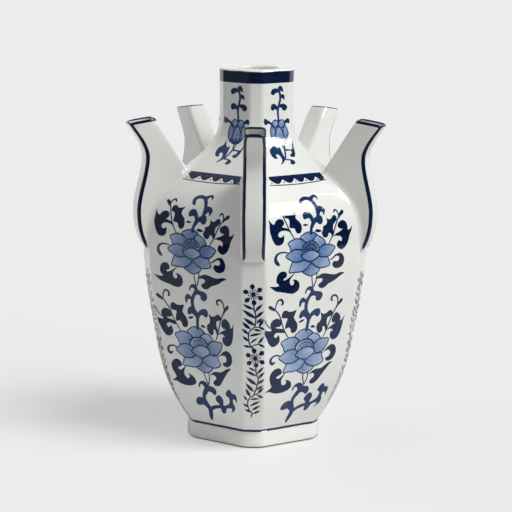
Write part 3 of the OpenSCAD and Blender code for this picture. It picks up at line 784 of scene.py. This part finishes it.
def passing(a, b, c, d, t):
    """The place a share t on from b to c, on a smooth line through all four."""
    bow, twist = 2 * a - 5 * b + 4 * c - d, 3 * b - a - 3 * c + d
    return 0.5 * (2 * b + (c - a) * t + bow * t * t + twist * t ** 3)


def smooth(points, closed):
    """A brush line drawn smoothly through points."""
    count, line = len(points), []
    for i in range(count if closed else count - 1):
        spots = range(i - 1, i + 3)
        near = [points[j % count] if closed else points[max(0, min(count - 1, j))] for j in spots]
        for step in range(6):
            line.append([passing(*four, step / 6) for four in zip(*near)])
    return line if closed else line + [list(points[-1])]


def span(corner_points, axis):
    """The least and the greatest place of some points along an axis."""
    places = [point.co[axis] for point in corner_points]
    return min(places), max(places)


class Drawing:
    """Shapes drawn flat in mm. Each keeps its tone, and a later layer lies a little higher."""

    def __init__(self):
        self.sheet = bmesh.new()
        self.tone = self.sheet.faces.layers.float.new("tone")
        self.base = self.sheet.faces.layers.float_vector.new("base")
        self.tip = self.sheet.faces.layers.float_vector.new("tip")

    def fill(self, outline, tone, lift, base=(0, 0), tip=(0, 10)):
        """A filled shape, whose brush marks run from its base to its tip."""
        face = self.sheet.faces.new([self.sheet.verts.new((u, v, lift)) for u, v in outline])
        face[self.tone], face[self.base], face[self.tip] = tone, (*base, 0), (*tip, 0)
        face.normal_update()
        if sum(a[0] * b[1] - b[0] * a[1] for a, b in zip(outline, outline[1:] + outline[:1])) < 0:
            face.normal_flip()

    def stroke(self, points, tone, lift, closed=False):
        """A brush stroke through points of across, up and width, with round ends."""
        line = [Vector(p) for p in points]
        count = len(line)
        rails = []
        for i, p in enumerate(line):
            before, after = max(i - 1, 0), min(i + 1, count - 1)
            if closed:
                before, after = i - 1, (i + 1) % count
            way = line[after] - line[before]
            across = Vector((-way.y, way.x)).normalized() * p.z / 2
            rails.append((p.xy + across, p.xy - across))
        pairs = list(zip(rails, rails[1:] + rails[:1] if closed else rails[1:]))
        quads = [(b[0], a[0], a[1], b[1]) for a, b in pairs]
        if not closed:
            for end, sign in ((0, -1), (-1, 1)):
                middle, arm = line[end].xy, rails[end][0] - line[end].xy
                cap = [middle + Matrix.Rotation(-sign * math.pi * i / 8, 2) @ arm for i in range(9)]
                quads.append(cap[::-sign])
        for quad in quads:
            face = self.sheet.faces.new([self.sheet.verts.new((q.x, q.y, lift)) for q in quad])
            face[self.tone] = tone

    def cut(self, axis, step):
        """Cuts the shapes every step of mm along an axis, so that they can bend."""
        low, high = span(self.sheet.verts, axis)
        aim = Vector((1 - axis, axis, 0))
        level = math.ceil(low / step) * step
        while level < high:
            near = []
            for face in self.sheet.faces:
                least, most = span(face.verts, axis)
                if least < level < most:
                    near.append(face)
            edges = dict.fromkeys(e for f in near for e in f.edges)
            points = dict.fromkeys(v for f in near for v in f.verts)
            parts = [*near, *edges, *points]
            bmesh.ops.bisect_plane(self.sheet, geom=parts, plane_co=aim * level, plane_no=aim)
            level += step

    def mesh(self, name, steps=(400.0, 2.0)):
        """The drawing as a mesh in metres that keeps its flat place and the way of the brush."""
        self.sheet.normal_update()
        bmesh.ops.triangulate(self.sheet, faces=[f for f in self.sheet.faces if len(f.verts) > 4])
        for axis in (0, 1):
            self.cut(axis, steps[axis])
        flat, grain = self.sheet.loops.layers.uv.new("flat"), self.sheet.loops.layers.uv.new("grain")
        for face in self.sheet.faces:
            base, way = face[self.base].xy, face[self.tip].xy - face[self.base].xy
            for loop in face.loops:
                loop[flat].uv = loop.vert.co.xy * 0.01
                off = loop.vert.co.xy - base
                aside = way.cross(off) * 0.1 / max(way.length, 1)
                loop[grain].uv = (off.dot(way) / max(way.length_squared, 1), aside)
        bmesh.ops.scale(self.sheet, vec=(MM, MM, MM), verts=self.sheet.verts)
        mesh = bpy.data.meshes.new(name)
        self.sheet.to_mesh(mesh)
        self.sheet.free()
        return mesh


def laid_on(name, bent=False):
    """A tree that lays a flat drawing along a middle line, bent over a strip's soft edges if need be,
    and repeats it round the vase."""
    wanted = (("Middle line", "Object"), ("Repeats", "Int"), ("First turn", "Float"), ("Finish", "Material"))
    tree, given, out = new_tree(name, *wanted)
    line = node(tree, "GeometryNodeObjectInfo", {"Object": given["Middle line"]}).outputs["Geometry"]
    line = node(tree, "GeometryNodeMeshToCurve", {0: line}).outputs[0]
    across, up, lift = axes(tree, node(tree, "GeometryNodeInputPosition").outputs[0])
    at = node(tree, "GeometryNodeSampleCurve", {"Curves": line, "Length": up}, mode="LENGTH").outputs
    slope = axes(tree, at["Tangent"])
    out_of_wall = vector(tree, {0: slope[2], 2: times(tree, slope[0], -1.0)})
    if bent:
        soft = edge_round * MM
        flat_start = (strip_base - edge_round * math.tan(corner_turn / 2)) * MM
        flat = add(tree, times(tree, axes(tree, at["Position"])[0], strip_growth), flat_start)
        size = maths(tree, "ABSOLUTE", across)
        bend = maths(tree, "DIVIDE", maths(tree, "MAXIMUM", less(tree, size, flat), 0.0), soft)
        arm = add(tree, lift, soft)
        past = times(tree, arm, maths(tree, "SINE", bend))
        lift = less(tree, times(tree, arm, maths(tree, "COSINE", bend)), soft)
        size = add(tree, maths(tree, "MINIMUM", size, flat), past)
        across = times(tree, size, maths(tree, "SIGN", across))
    place = vectors(tree, "ADD", at["Position"], vector(tree, {1: across}))
    place = vectors(tree, "ADD", place, vectors(tree, "SCALE", out_of_wall, lift))
    feeds = {"Geometry": given["Geometry"], "Position": place}
    laid = node(tree, "GeometryNodeSetPosition", feeds).outputs[0]
    spots = node(tree, "GeometryNodeMeshLine", {"Count": given["Repeats"], "Offset": (0, 0, 0)}).outputs[0]
    share = maths(tree, "DIVIDE", node(tree, "GeometryNodeInputIndex").outputs[0], given["Repeats"])
    turn = vector(tree, {2: add(tree, times(tree, share, 2 * math.pi), given["First turn"])})
    feeds = {"Points": spots, "Instance": laid, "Rotation": turn}
    copies = node(tree, "GeometryNodeInstanceOnPoints", feeds).outputs[0]
    whole = node(tree, "GeometryNodeRealizeInstances", {0: copies}).outputs[0]
    whole = node(tree, "GeometryNodeSetMaterial", {"Geometry": whole, "Material": given["Finish"]}).outputs[0]
    tree.links.new(whole, out.inputs[0])
    return tree


def middle_line(name, reach):
    """The line up the middle of a face or strip, as an object: its distance from the axis and its height."""
    steps = 300
    heights = [foot_height + (rim_top - foot_height) * i / steps for i in range(steps + 1)]
    points = [(reach(along(body_curve, z)) * MM, 0, z * MM) for z in heights]
    mesh = bpy.data.meshes.new(name)
    mesh.from_pydata(points, [(i, i + 1) for i in range(steps)], [])
    return bpy.data.objects.new(name, mesh)


def brushed(name, dark, light, thin, grain=0.0):
    """Cobalt under clear glaze: the tone of each stroke, and the uneven way the brush leaves it, mix two
    blues. grain draws the brush along each petal, from a full touch at its base to a pale tip."""
    finish, tree, shader = new_finish(name)
    flat = node(tree, "ShaderNodeUVMap", uv_map="flat").outputs[0]
    tone = node(tree, "ShaderNodeAttribute", attribute_name="tone").outputs["Fac"]
    pools, fine = clouds(tree, flat, 32.0, 3.0), clouds(tree, flat, 150.0, 2.0)
    uneven = add(tree, swing(tree, pools, 1.4), swing(tree, fine, 0.9))
    share = add(tree, tone, times(tree, uneven, thin))
    if grain:
        along_petal = node(tree, "ShaderNodeUVMap", uv_map="grain").outputs[0]
        pale = ramp(tree, axes(tree, along_petal)[0], 0.1, 0.95, -0.5, 0.5)
        hairs = clouds(tree, vectors(tree, "MULTIPLY", along_petal, (1.5, 16.0, 0)), 1.0, 2.0)
        share = add(tree, share, times(tree, add(tree, pale, swing(tree, hairs, 1.6)), grain))
    share = node(tree, "ShaderNodeClamp", {0: share}).outputs[0]
    tree.links.new(tint(tree, share, dark, light), shader.inputs["Base Color"])
    gloss(tree, shader, node(tree, "ShaderNodeTexCoord").outputs["Object"])
    return finish


def flower(ink, wash, petals, paleness):
    """A flower: each petal a wash inside a darker line, over a first touch of wash at the heart."""
    heart = sum((Vector(p) for p in petals["cup"]), Vector((0, 0))) / len(petals["cup"])
    far = max((Vector(p) - heart).length for p in petals["cup"])
    turns = [math.pi * i / 12 for i in range(24)]
    touch = [(heart.x + far * math.cos(a), heart.y + far * math.sin(a)) for a in turns]
    wash.fill(touch, paleness[0], 0.028, heart, heart + Vector((0, 9)))
    for i, outline in enumerate(petals.values()):
        edge = smooth(outline, True)
        base = Vector(min(outline, key=lambda p: (Vector(p) - heart).length))
        tip = max(outline, key=lambda p: (Vector(p) - base).length)
        wash.fill(edge, paleness[i % len(paleness)], 0.03 + 0.001 * i, base, tip)
        ink.stroke([(u, v, petal_line) for u, v in edge], petal_line_tone, 0.062, closed=True)


def face_reach(strip_reach):
    """How far out the middle of a wide face is where its strips are at a distance."""
    return strip_reach * math.cos(corner_turn) + strip_half(strip_reach) * math.sin(corner_turn)


def on_faces(name, drawing, finish):
    """A drawing repeated on all five wide faces, the first of them to the right of the front."""
    laying = {"Middle line": face_line, "Repeats": corners, "First turn": math.radians(-54), "Finish": finish}
    return grown(name, drawing.mesh(name + "_flat"), faces_tree, laying)


face_line = middle_line("face_line", face_reach)
faces_tree = laid_on("laid_on_faces")
ink_finish = brushed("cobalt_line", (0.0010, 0.0075, 0.038), (0.026, 0.074, 0.22), 0.35)
wash_finish = brushed("cobalt_wash", (0.09, 0.18, 0.38), (0.42, 0.52, 0.68), 0.35, grain=0.55)
brush = random.Random(5)
ink, wash = Drawing(), Drawing()
for part, outline in spray_leaves.items():          # the stem and its knobs are thinner blue than the leaves
    tone = stem_tone if part.startswith(("top_", "mid_", "stem_")) else brush.uniform(0.0, 0.2)
    ink.fill(smooth(outline, True), tone, 0.05)
for part, points in spray_strokes.items():
    tone = stem_tone if "trunk" in part or part in ("branch", "top_c") else brush.uniform(0.25, 0.45)
    ink.stroke(smooth(points, False), tone, 0.056)
flower(ink, wash, lower_flower, (0.56, 0.68, 0.46, 0.60))
flower(ink, wash, upper_flower, (0.34, 0.50, 0.24, 0.40))
for i in range(9):                                  # the seeds in the upper head, each a drop on a stalk
    a = math.radians(164 - 18.5 * i)
    way = Vector((6.2 * math.cos(a), 5.4 * math.sin(a)))
    drop = [(*(upper_head + way * s), width) for s, width in ((0.70, 0.8), (0.87, 1.4), (1.0, 1.1))]
    ink.stroke(drop, 0.0, 0.07)
    ink.stroke([(*(upper_head + way * s), 0.55) for s in (0.28, 0.60)], 0.2, 0.07)
ink.stroke(smooth(lower_head_arc, False), 0.45, 0.066)
for i in range(13):                                 # the paler seeds in the lower head
    u, v = -5.0 + 0.72 * i, 70.6 + (0.5, 1.5, 0.1)[i % 3] - 0.04 * (i - 6) ** 2
    ink.stroke([(u - 0.35, v - 0.2, 0.55), (u + 0.35, v + 0.2, 0.55)], 0.4, 0.068)
for name, drawing, finish in (("spray_lines", ink, ink_finish), ("spray_washes", wash, wash_finish)):
    piece = on_faces(name, drawing, finish)
    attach(piece, "root")

# The sprays on the neck. A single flower on a stem in each face of the neck, in the same cobalt,
# drawn from the shoulder up to the blue band of the rim.
neck_leaves = {
    "left": ((-5.9, 236.2), (-5, 233), (-3.6, 231.2), (-2.8, 230.6), (-1.6, 231.6), (-0.8, 230.3),
        (-0.7, 227), (-0.6, 223.5), (-0.8, 221.2), (-1.6, 219.6), (-3.2, 218.3), (-4.8, 217.1),
        (-6.6, 216.3), (-4.9, 218.3), (-3.6, 220), (-3.4, 222.2), (-3.9, 224.2), (-5.2, 225.7),
        (-6.7, 225.6), (-7.3, 224.2), (-6.8, 222.6), (-7.8, 221.9), (-9.6, 222.2), (-10.9, 224),
        (-11.3, 226.5), (-10.9, 229), (-9.8, 230.4), (-8.2, 231.5), (-7.2, 232.6), (-6.5, 234.2)),
    "right": ((3.6, 229.4), (5.8, 229.4), (7.8, 228.9), (9.6, 229.2), (10.6, 230.8), (11.2, 233.2),
        (12.2, 235.8), (13.2, 237.2), (12.4, 234), (11.6, 230.8), (11, 227.2), (10.4, 224.9), (9.2, 222.9),
        (7.4, 222.2), (5.8, 222.8), (5.4, 224.2), (6.6, 225), (7.8, 225.8), (8.2, 227.2), (7.4, 228.1),
        (5.6, 228.3), (3.8, 228.2)),
    "bud": ((-0.6, 220.9), (2, 220.6), (4.2, 220.2), (6.1, 219.4), (6.8, 217.9), (6, 216.2), (4.1, 215.5),
        (2.4, 216.1), (2.5, 217.5), (3.4, 218.7), (2, 219.7), (-0.4, 220)),
    "left_tip": ((-4, 250.2), (-6, 251.4), (-8.4, 252.8), (-10.4, 253.8), (-10.8, 251), (-9.4, 249.6),
        (-7.2, 250.6), (-5, 249.6)),
    "right_tip": ((7.4, 250.6), (9, 252.2), (11, 253), (12, 251.6), (11.6, 249.8), (9.6, 250.4), (8, 249.4)),
    "left_low": ((-4.4, 261), (-4.2, 263.6), (-2, 264.4), (0.2, 263), (1.8, 261.2), (0.6, 260.4),
        (-1.2, 261), (-3, 260)),
    "right_low": ((3, 263.4), (5.4, 264), (8, 263.6), (9.8, 261.8), (8.6, 259.8), (6.6, 259.8),
        (5.2, 261.6), (3.6, 262)),
    "small": ((3.4, 271), (5.2, 271.2), (7, 270.4), (7.2, 267.8), (5.8, 269), (4, 269)),
    "left_top": ((2.6, 273), (0.8, 275.4), (-1.6, 275.8), (-4, 274.8), (-4.6, 272.6), (-2.8, 271.6),
        (-0.8, 273), (1, 273.4)),
    "right_top": ((1.4, 274.6), (2, 276.8), (3.8, 277.6), (5.4, 276), (6, 273.6), (4.2, 274.6), (2.6, 273.4)),
}
neck_strokes = {
    "stalk": ((4, 235, 0.8), (3.6, 231.6, 0.9), (2.5, 228, 1.1), (1.1, 224.2, 1.1), (-0.4, 221, 1)),
    "stalk_side": ((2, 234.4, 0.7), (2.4, 231.4, 0.7), (2.6, 228.6, 0.6)),
    "cup_base": ((-3, 238.4, 0.5), (-1.7, 236, 0.9), (0.2, 234.8, 1.3), (2.4, 234.4, 1.5), (4.8, 235, 1.4),
        (6.6, 236.5, 1.1), (7.6, 238.2, 0.5)),
    "flame_a": ((0.4, 234.8, 1.1), (0.1, 236.6, 0.7), (-0.2, 238.2, 0.2)),
    "flame_b": ((1.8, 234.6, 1.3), (1.9, 237, 0.9), (1.8, 239.4, 0.2)),
    "flame_c": ((3.2, 234.8, 1.3), (3.5, 236.6, 0.9), (3.5, 238.6, 0.2)),
    "flame_d": ((4.6, 235.2, 1.2), (5.1, 236.8, 0.8), (5.3, 238.6, 0.2)),
    "stem": ((2.4, 251.5, 1.4), (1.8, 256, 1.4), (1.6, 260, 1.5), (2.6, 264, 1.5), (3.6, 268, 1.5),
        (3.2, 272, 1.5), (1.8, 275, 1.3)),
}
neck_flower = {
    "left": ((-3.8, 249.4), (-5.4, 246), (-5.8, 242), (-4.6, 238), (-2, 235.4), (-1.8, 239), (-1.4, 243),
        (-1.6, 246.6)),
    "right": ((7.6, 248.6), (9.4, 245.6), (10.2, 242), (8.6, 239.4), (6.8, 236.2), (5.8, 239.4),
        (5.6, 243), (6.6, 246.4)),
    "cup": ((2, 248), (0, 245.6), (-1.6, 242), (-1.2, 238), (0.6, 234.6), (2.6, 234), (4.8, 236.4),
        (5.6, 240), (5, 244), (3.6, 246.4)),
    "top_left": ((-1.6, 246.6), (-4, 249.2), (-2.2, 252), (0.2, 252.4), (1.8, 250.4), (1.4, 248.6)),
    "top_right": ((2.2, 247.6), (2.4, 250.6), (4.4, 252.4), (6.6, 251.8), (7.6, 249), (5, 246.4)),
}
neck_brush = 1.3                                    # how much wider the strokes are than they are drawn
ink, wash = Drawing(), Drawing()
for part, outline in neck_leaves.items():
    edge, tone = smooth(outline, True), brush.uniform(0.2, 0.5)
    hem = 0.25 if part in ("left", "right", "bud") else 0.8
    ink.fill(edge, tone, 0.05)
    ink.stroke([(u, v, hem) for u, v in edge], tone, 0.051, closed=True)
for part, points in neck_strokes.items():
    tone = 0.05 if part.startswith(("cup", "flame")) else brush.uniform(0.4, 0.7)
    ink.stroke(smooth([(u, v, width * neck_brush) for u, v, width in points], False), tone, 0.056)
flower(ink, wash, neck_flower, (0.55, 0.45, 0.65))
for name, drawing, finish in (("neck_lines", ink, ink_finish), ("neck_washes", wash, wash_finish)):
    piece = on_faces(name, drawing, finish)
    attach(piece, "root")

# The toothed bands. A dark border at the top of each shoulder face, with rounded teeth that hang
# from it, a dot between each pair of teeth and a thin line under them.
teeth = (-18.3, -7.3, 2.8, 12.4, 21.5)
gaps = (-23.7, -12.8, -1.8, 7.5, 17.3)
tooth_shape = ((-2.2, 199.2), (-1.0, 198.7), (0, 198.6), (1.0, 198.7), (2.2, 199.4))
under_line = ((-28, 198, 0.8), (-14, 197.2, 0.9), (0, 197, 0.9), (14, 197.7, 0.9), (27, 199, 0.8))
ink = Drawing()
edge = [(25.2, 205.2), (24.4, 206.0), (-24.4, 206.0), (-25.4, 205.2), (-26.4, 202.6)]
for gap, tooth in zip(gaps, teeth):
    edge += [(gap, 202.5), (gap + 1.6, 200.6)] + [(tooth + u, v) for u, v in tooth_shape]
    ink.stroke([(gap - 0.1, 199.6, 1.2), (gap + 0.1, 199.7, 1.2)], 0.3, 0.06)
edge += [(24.6, 200.6), (25.4, 202.6)]
ink.stroke([(26.7, 201.0, 1.1), (26.9, 201.1, 1.1)], 0.3, 0.06)
ink.fill(edge, 0.1, 0.05)
ink.stroke(smooth(under_line, False), 0.3, 0.055)
piece = on_faces("toothed_bands", ink, ink_finish)
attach(piece, "root")

# The garlands up the five corner strips. A leafy vine with two six-petalled flowers, brushed in cobalt
# with the tip of a fine brush, from above the foot to just under the spout.
garland_vines = (
    ((-1, 15, 0.6), (-0.8, 17, 0.9), (-0.3, 18.5, 0.9), (-1.2, 20.3, 0.9), (-2.4, 22, 0.8),
        (-3.2, 24.5, 0.8), (-3.6, 27, 0.8), (-3.6, 30, 0.8), (-3, 32, 0.8), (-1.8, 34, 0.8),
        (0, 35.1, 0.8), (1, 37, 0.8), (1.6, 39, 0.8), (2.4, 41, 0.8), (3, 43.5, 0.8), (3.5, 46, 0.8),
        (3.9, 48.5, 0.8), (4, 50.5, 0.8), (3.4, 52.5, 0.8), (2.8, 54.5, 0.8), (2.3, 56.5, 0.8),
        (2.2, 60, 0.8)),
    ((1, 73.5, 0.8), (-0.6, 75.2, 1.1), (-1.6, 76.2, 1), (-2.3, 77.8, 0.9), (-3, 80, 0.8), (-3.4, 83, 0.8),
        (-3.3, 86, 0.8), (-2.6, 88, 0.8), (-1.4, 89.6, 0.8), (0, 90.8, 0.8), (1.2, 92, 0.8),
        (1.6, 94, 0.8), (1.9, 97, 0.8), (1.9, 99.5, 0.8), (1.7, 101.5, 0.8), (1.2, 103.5, 0.8),
        (0.6, 105.5, 0.8), (0.3, 109, 0.8)),
    ((0.8, 36.4, 0.6), (2.6, 36.9, 0.7), (4.2, 36, 0.6)),
    ((2.4, 36.9, 0.6), (3.4, 37.4, 0.7), (4.4, 38.6, 0.6)),
    ((1.2, 91.8, 0.6), (3, 91.6, 0.7), (4.8, 92, 0.6)),
    ((-1, 75.8, 0.6), (0.4, 77.2, 0.7), (2.4, 77.8, 0.7), (4.2, 78.4, 0.6)),
)
garland_leaves = (              # from, to and width
    (-1.3, 20.2, -5.8, 23.2, 1.7), (-3.2, 25.2, -7.1, 28.5, 1.6), (-3.9, 31.4, -6.8, 36, 1.3),
        (-1.8, 35.2, -5, 41.8, 2.0), (0.6, 39.6, -5.1, 46.7, 2.1), (2.6, 45.4, -4.7, 51.7, 2.3),
        (2.3, 53, -4.9, 57.1, 1.9), (1.6, 57, -3.1, 59.9, 1.4),
    (0.6, 18.6, 5.7, 21.5, 1.7), (-0.2, 22, 5.7, 26.5, 1.8), (-1.6, 26.2, 5.7, 30.5, 1.7),
        (-1.6, 32.2, 5.3, 32.9, 1.5), (3.6, 36.2, 7.7, 33.3, 1.7), (4, 38, 8.1, 42.8, 1.8),
        (3.2, 41, 7.7, 44.7, 1.5), (4.2, 46.2, 8.7, 49.9, 1.7), (4.4, 51, 8.7, 55.7, 1.6),
        (3.6, 54.8, 8.3, 60.1, 1.6),
    (-2, 75.9, -7.3, 77.2, 1.6), (-3.4, 80.6, -7.5, 84.7, 1.7), (-3.5, 86.2, -8, 90.4, 1.8),
        (-2.2, 90.4, -7.9, 95.7, 2.2), (1.2, 93.2, -7.1, 99.1, 2.3), (1.6, 98.9, -7.7, 105.3, 2.4),
        (0.2, 105.6, -7.7, 109.7, 1.8),
    (-1.8, 79, 3.7, 83.2, 1.2), (-2.4, 84.6, 6.3, 86.6, 1.6), (0.4, 89.7, 6.1, 88.5, 1.5),
        (4.2, 91.8, 8.7, 89.3, 1.5), (4.6, 92.2, 7.9, 98.1, 1.9), (2.8, 94.8, 6.7, 98.7, 1.7),
        (2.2, 99, 7.7, 104.1, 1.9), (1.4, 103.8, 6.9, 109.7, 1.7), (4, 78.4, 8.1, 84.3, 1.6),
        (4.2, 78.2, 8.7, 75.5, 1.5),
)
garland_flowers = (             # the middle, then the middle of each petal
    ((0, 117), (-0.8, 123), (4.6, 120.6), (5.2, 114.3), (0.5, 110.6), (-4.6, 112.6), (-5.7, 119)),
    ((1.7, 67), (0.9, 73), (6.5, 71.1), (6.9, 63.9), (2.4, 61.4), (-2.8, 63.1), (-3.5, 69.5)),
)
leaf_shape = ((0, 0.3), (0.2, 0.75), (0.45, 1.0), (0.7, 0.75), (0.9, 0.3), (1, 0.12))       # share and width
petal_shape = ((0, 0.9), (0.35, 0.7), (0.62, 0.8), (0.76, 2.5), (1, 3.6), (1.18, 2.7), (1.31, 0.5))
spike_shape = ((0, 0.5), (0.5, 0.45), (0.8, 0.5), (1, 1.1), (1.08, 0.8))
spike_length, garland_brush = 3.6, 1.2
leaf_bow = 0.03                 # how far a leaf bows at half its length, as a share of that length
ink = Drawing()
for points in garland_vines:
    ink.stroke(smooth([(u, v, width * garland_brush) for u, v, width in points], False), 0.3, 0.05)
for u0, v0, u1, v1, width in garland_leaves:
    way, side = Vector((u1 - u0, v1 - v0)), Vector((v0 - v1, u1 - u0)) * leaf_bow
    leaf = []
    for s, w in leaf_shape:
        u = u0 + way.x * s + side.x * s * (1 - s) * 4
        v = v0 + way.y * s + side.y * s * (1 - s) * 4
        leaf.append((u, v, width * w * garland_brush))
    ink.stroke(smooth(leaf, False), brush.uniform(0.02, 0.3), 0.054)
for middle, *petals in garland_flowers:
    middle = Vector(middle)
    for i, petal in enumerate(petals):
        way = Vector(petal) - middle
        drop = [(*(middle + way * s), w) for s, w in petal_shape]
        ink.stroke(smooth(drop, False), brush.uniform(0.0, 0.25), 0.058)
        gap_way = (way + Vector(petals[(i + 1) % 6]) - middle).normalized() * spike_length
        ink.stroke(smooth([(*(middle + gap_way * s), w) for s, w in spike_shape], False), 0.2, 0.062)
    ink.stroke([(middle.x, middle.y - 0.3, 2.9), (middle.x, middle.y + 0.3, 2.9)], 0.1, 0.066)
strip_line = middle_line("strip_line", lambda strip_reach: strip_reach)
strips_tree = laid_on("laid_on_strips", bent=True)
laying = {"Middle line": strip_line, "Repeats": corners, "First turn": corner_at(0), "Finish": ink_finish}
piece = grown("corner_garlands", ink.mesh("garland_flat", (0.9, 3.0)), strips_tree, laying)
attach(piece, "root")

# The studio. A pale paper sheet, dull in front on the left, with soft light from the right at two heights,
# a little from low in front and a fill from behind on the left. A backdrop, the paper and a softbox show
# in the glaze, so the paper has one look for the camera, one for the light it throws and one in the glaze.
sheet_left, sheet_right, tongue_half = -1.35, 0.95, 0.28    # in metres, as are all places in the studio
paper_shade, paper_glow = 0.48, 0.380                       # as the camera sees the paper
room_light = 0.15
suns = (                                                    # turn, rise, strength and spread
    ("low_key", -28, 27, 0.95, 60),
    ("high_key", -31, 57, 1.80, 25),
    ("front_key", -62, 25, 0.24, 60),
    ("back_fill", 162, 38, 0.82, 90),
)
softbox_wide, softbox_high, softbox_power = 0.558, 0.792, 33.7
softbox_place = (1.0583, -0.5162, 1.2207)
softbox_back, softbox_side = (0.809, -0.128, 0.572), (-0.43, 0.59, 0.68)
film_width, focal_length, focal_pixels, pixels_aside = 36.0, 150.74, 2143.8, 1
camera_away, camera_height = 1.611, 0.4236


def set_down(name, made, place, side, top, back):
    """A lamp or camera at a place, given its own three axes."""
    thing = bpy.data.objects.new(name, made)
    thing.matrix_world = Matrix.Translation(place) @ Matrix((side, top, back)).transposed().to_4x4()
    bpy.context.scene.collection.objects.link(thing)
    return thing


ground = bpy.data.meshes.new("paper_sheet")
ground.from_pydata([(-12, -6, 0), (12, -6, 0), (12, 20, 0), (-12, 20, 0)], [], [(0, 1, 2, 3)])
paper = bpy.data.objects.new("paper_sheet", ground)
bpy.context.scene.collection.objects.link(paper)
paper_finish, tree, shader = new_finish("pale_paper")
shader.inputs["Roughness"].default_value = 1.0
shader.inputs["Specular IOR Level"].default_value = 0.0
shader.inputs["Emission Color"].default_value = (1, 1, 1, 1)
seen = node(tree, "ShaderNodeLightPath").outputs
spot_x, spot_y, _ = axes(tree, node(tree, "ShaderNodeTexCoord").outputs["Object"])
in_front, around = ramp(tree, spot_x, -0.1, 0.1, 0.0, 0.80), ramp(tree, spot_x, -0.1, 0.1, 0.92, 0.64)
lit = between(tree, ramp(tree, spot_y, -0.28, -0.21), in_front, around)
aside = maths(tree, "ABSOLUTE", spot_x)
wings = ramp(tree, add(tree, spot_y, times(tree, aside, 0.28)), -0.065, -0.047)
within = maths(tree, "GREATER_THAN", spot_x, sheet_left)
within = times(tree, within, maths(tree, "LESS_THAN", spot_x, sheet_right))
wings = times(tree, wings, maths(tree, "MAXIMUM", within, maths(tree, "GREATER_THAN", spot_y, 0.2)))
tongue = times(tree, ramp(tree, spot_y, -0.21, -0.17), maths(tree, "LESS_THAN", aside, tongue_half))
behind = ramp(tree, less(tree, spot_y, spot_x), 0.4, 0.7, 0.0, 0.40)
behind = times(tree, behind, maths(tree, "LESS_THAN", spot_x, 0.0))
# In the glaze the paper is shown darker on its left: a painted shadow of the vase in that reflection.
level = add(tree, ramp(tree, spot_x, -0.12, 0.12, 0.48, 0.70), behind)
far_left = times(tree, maths(tree, "LESS_THAN", spot_x, sheet_left), 0.18)
shown = add(tree, times(tree, maths(tree, "MAXIMUM", wings, tongue), level), add(tree, far_left, 0.04))
pale = between(tree, seen["Is Glossy Ray"], lit, shown)
pale = between(tree, seen["Is Camera Ray"], pale, paper_shade)
grey = node(tree, "ShaderNodeCombineColor", {0: pale, 1: pale, 2: pale}).outputs[0]
tree.links.new(grey, shader.inputs["Base Color"])
tree.links.new(times(tree, seen["Is Camera Ray"], paper_glow), shader.inputs["Emission Strength"])
ground.materials.append(paper_finish)

room = bpy.context.scene.world or bpy.data.worlds.new("room")
bpy.context.scene.world = room
room.use_nodes = True
tree = room.node_tree
sky = tree.nodes["Background"]
sky.inputs["Color"].default_value = (1, 1, 1, 1)
aim_x, aim_y, _ = axes(tree, node(tree, "ShaderNodeTexCoord").outputs["Generated"])
backdrop = ramp(tree, less(tree, aim_y, times(tree, aim_x, 0.50)), -0.05, 0.9, 0.012, 0.9)
seen = node(tree, "ShaderNodeLightPath").outputs
tree.links.new(between(tree, seen["Is Glossy Ray"], room_light, backdrop), sky.inputs["Strength"])

for name, turn, rise, strength, spread in suns:
    sun = bpy.data.lights.new(name, "SUN")
    sun.energy, sun.angle = strength, math.radians(spread)
    lamp = bpy.data.objects.new(name, sun)
    lamp.rotation_euler = (0, math.radians(90 - rise), math.radians(turn))
    lamp.visible_glossy = False
    bpy.context.scene.collection.objects.link(lamp)

softbox = bpy.data.lights.new("softbox", "AREA")
softbox.shape, softbox.energy = "RECTANGLE", softbox_power
softbox.size, softbox.size_y = softbox_wide, softbox_high
back = Vector(softbox_back).normalized()
top = back.cross(Vector(softbox_side)).normalized()
lamp = set_down("softbox", softbox, softbox_place, top.cross(back), top, back)
lamp.visible_diffuse = False

lens = bpy.data.cameras.new("camera")
lens.sensor_width, lens.lens = film_width, focal_length
yaw, pitch, roll = math.radians(-0.62), math.radians(10.06), math.radians(0.565)
aim = yaw + math.atan(pixels_aside / focal_pixels)
forward = Vector((math.cos(pitch) * math.sin(aim), math.cos(pitch) * math.cos(aim), -math.sin(pitch)))
right = Vector((math.cos(aim), -math.sin(aim), 0))
up = right.cross(forward)
side, top = right * math.cos(roll) + up * math.sin(roll), up * math.cos(roll) - right * math.sin(roll)
camera_place = (-camera_away * math.sin(yaw), -camera_away * math.cos(yaw), camera_height)
bpy.context.scene.camera = set_down("camera", lens, camera_place, side, top, -forward)
bpy.context.scene.view_settings.view_transform = "Standard"
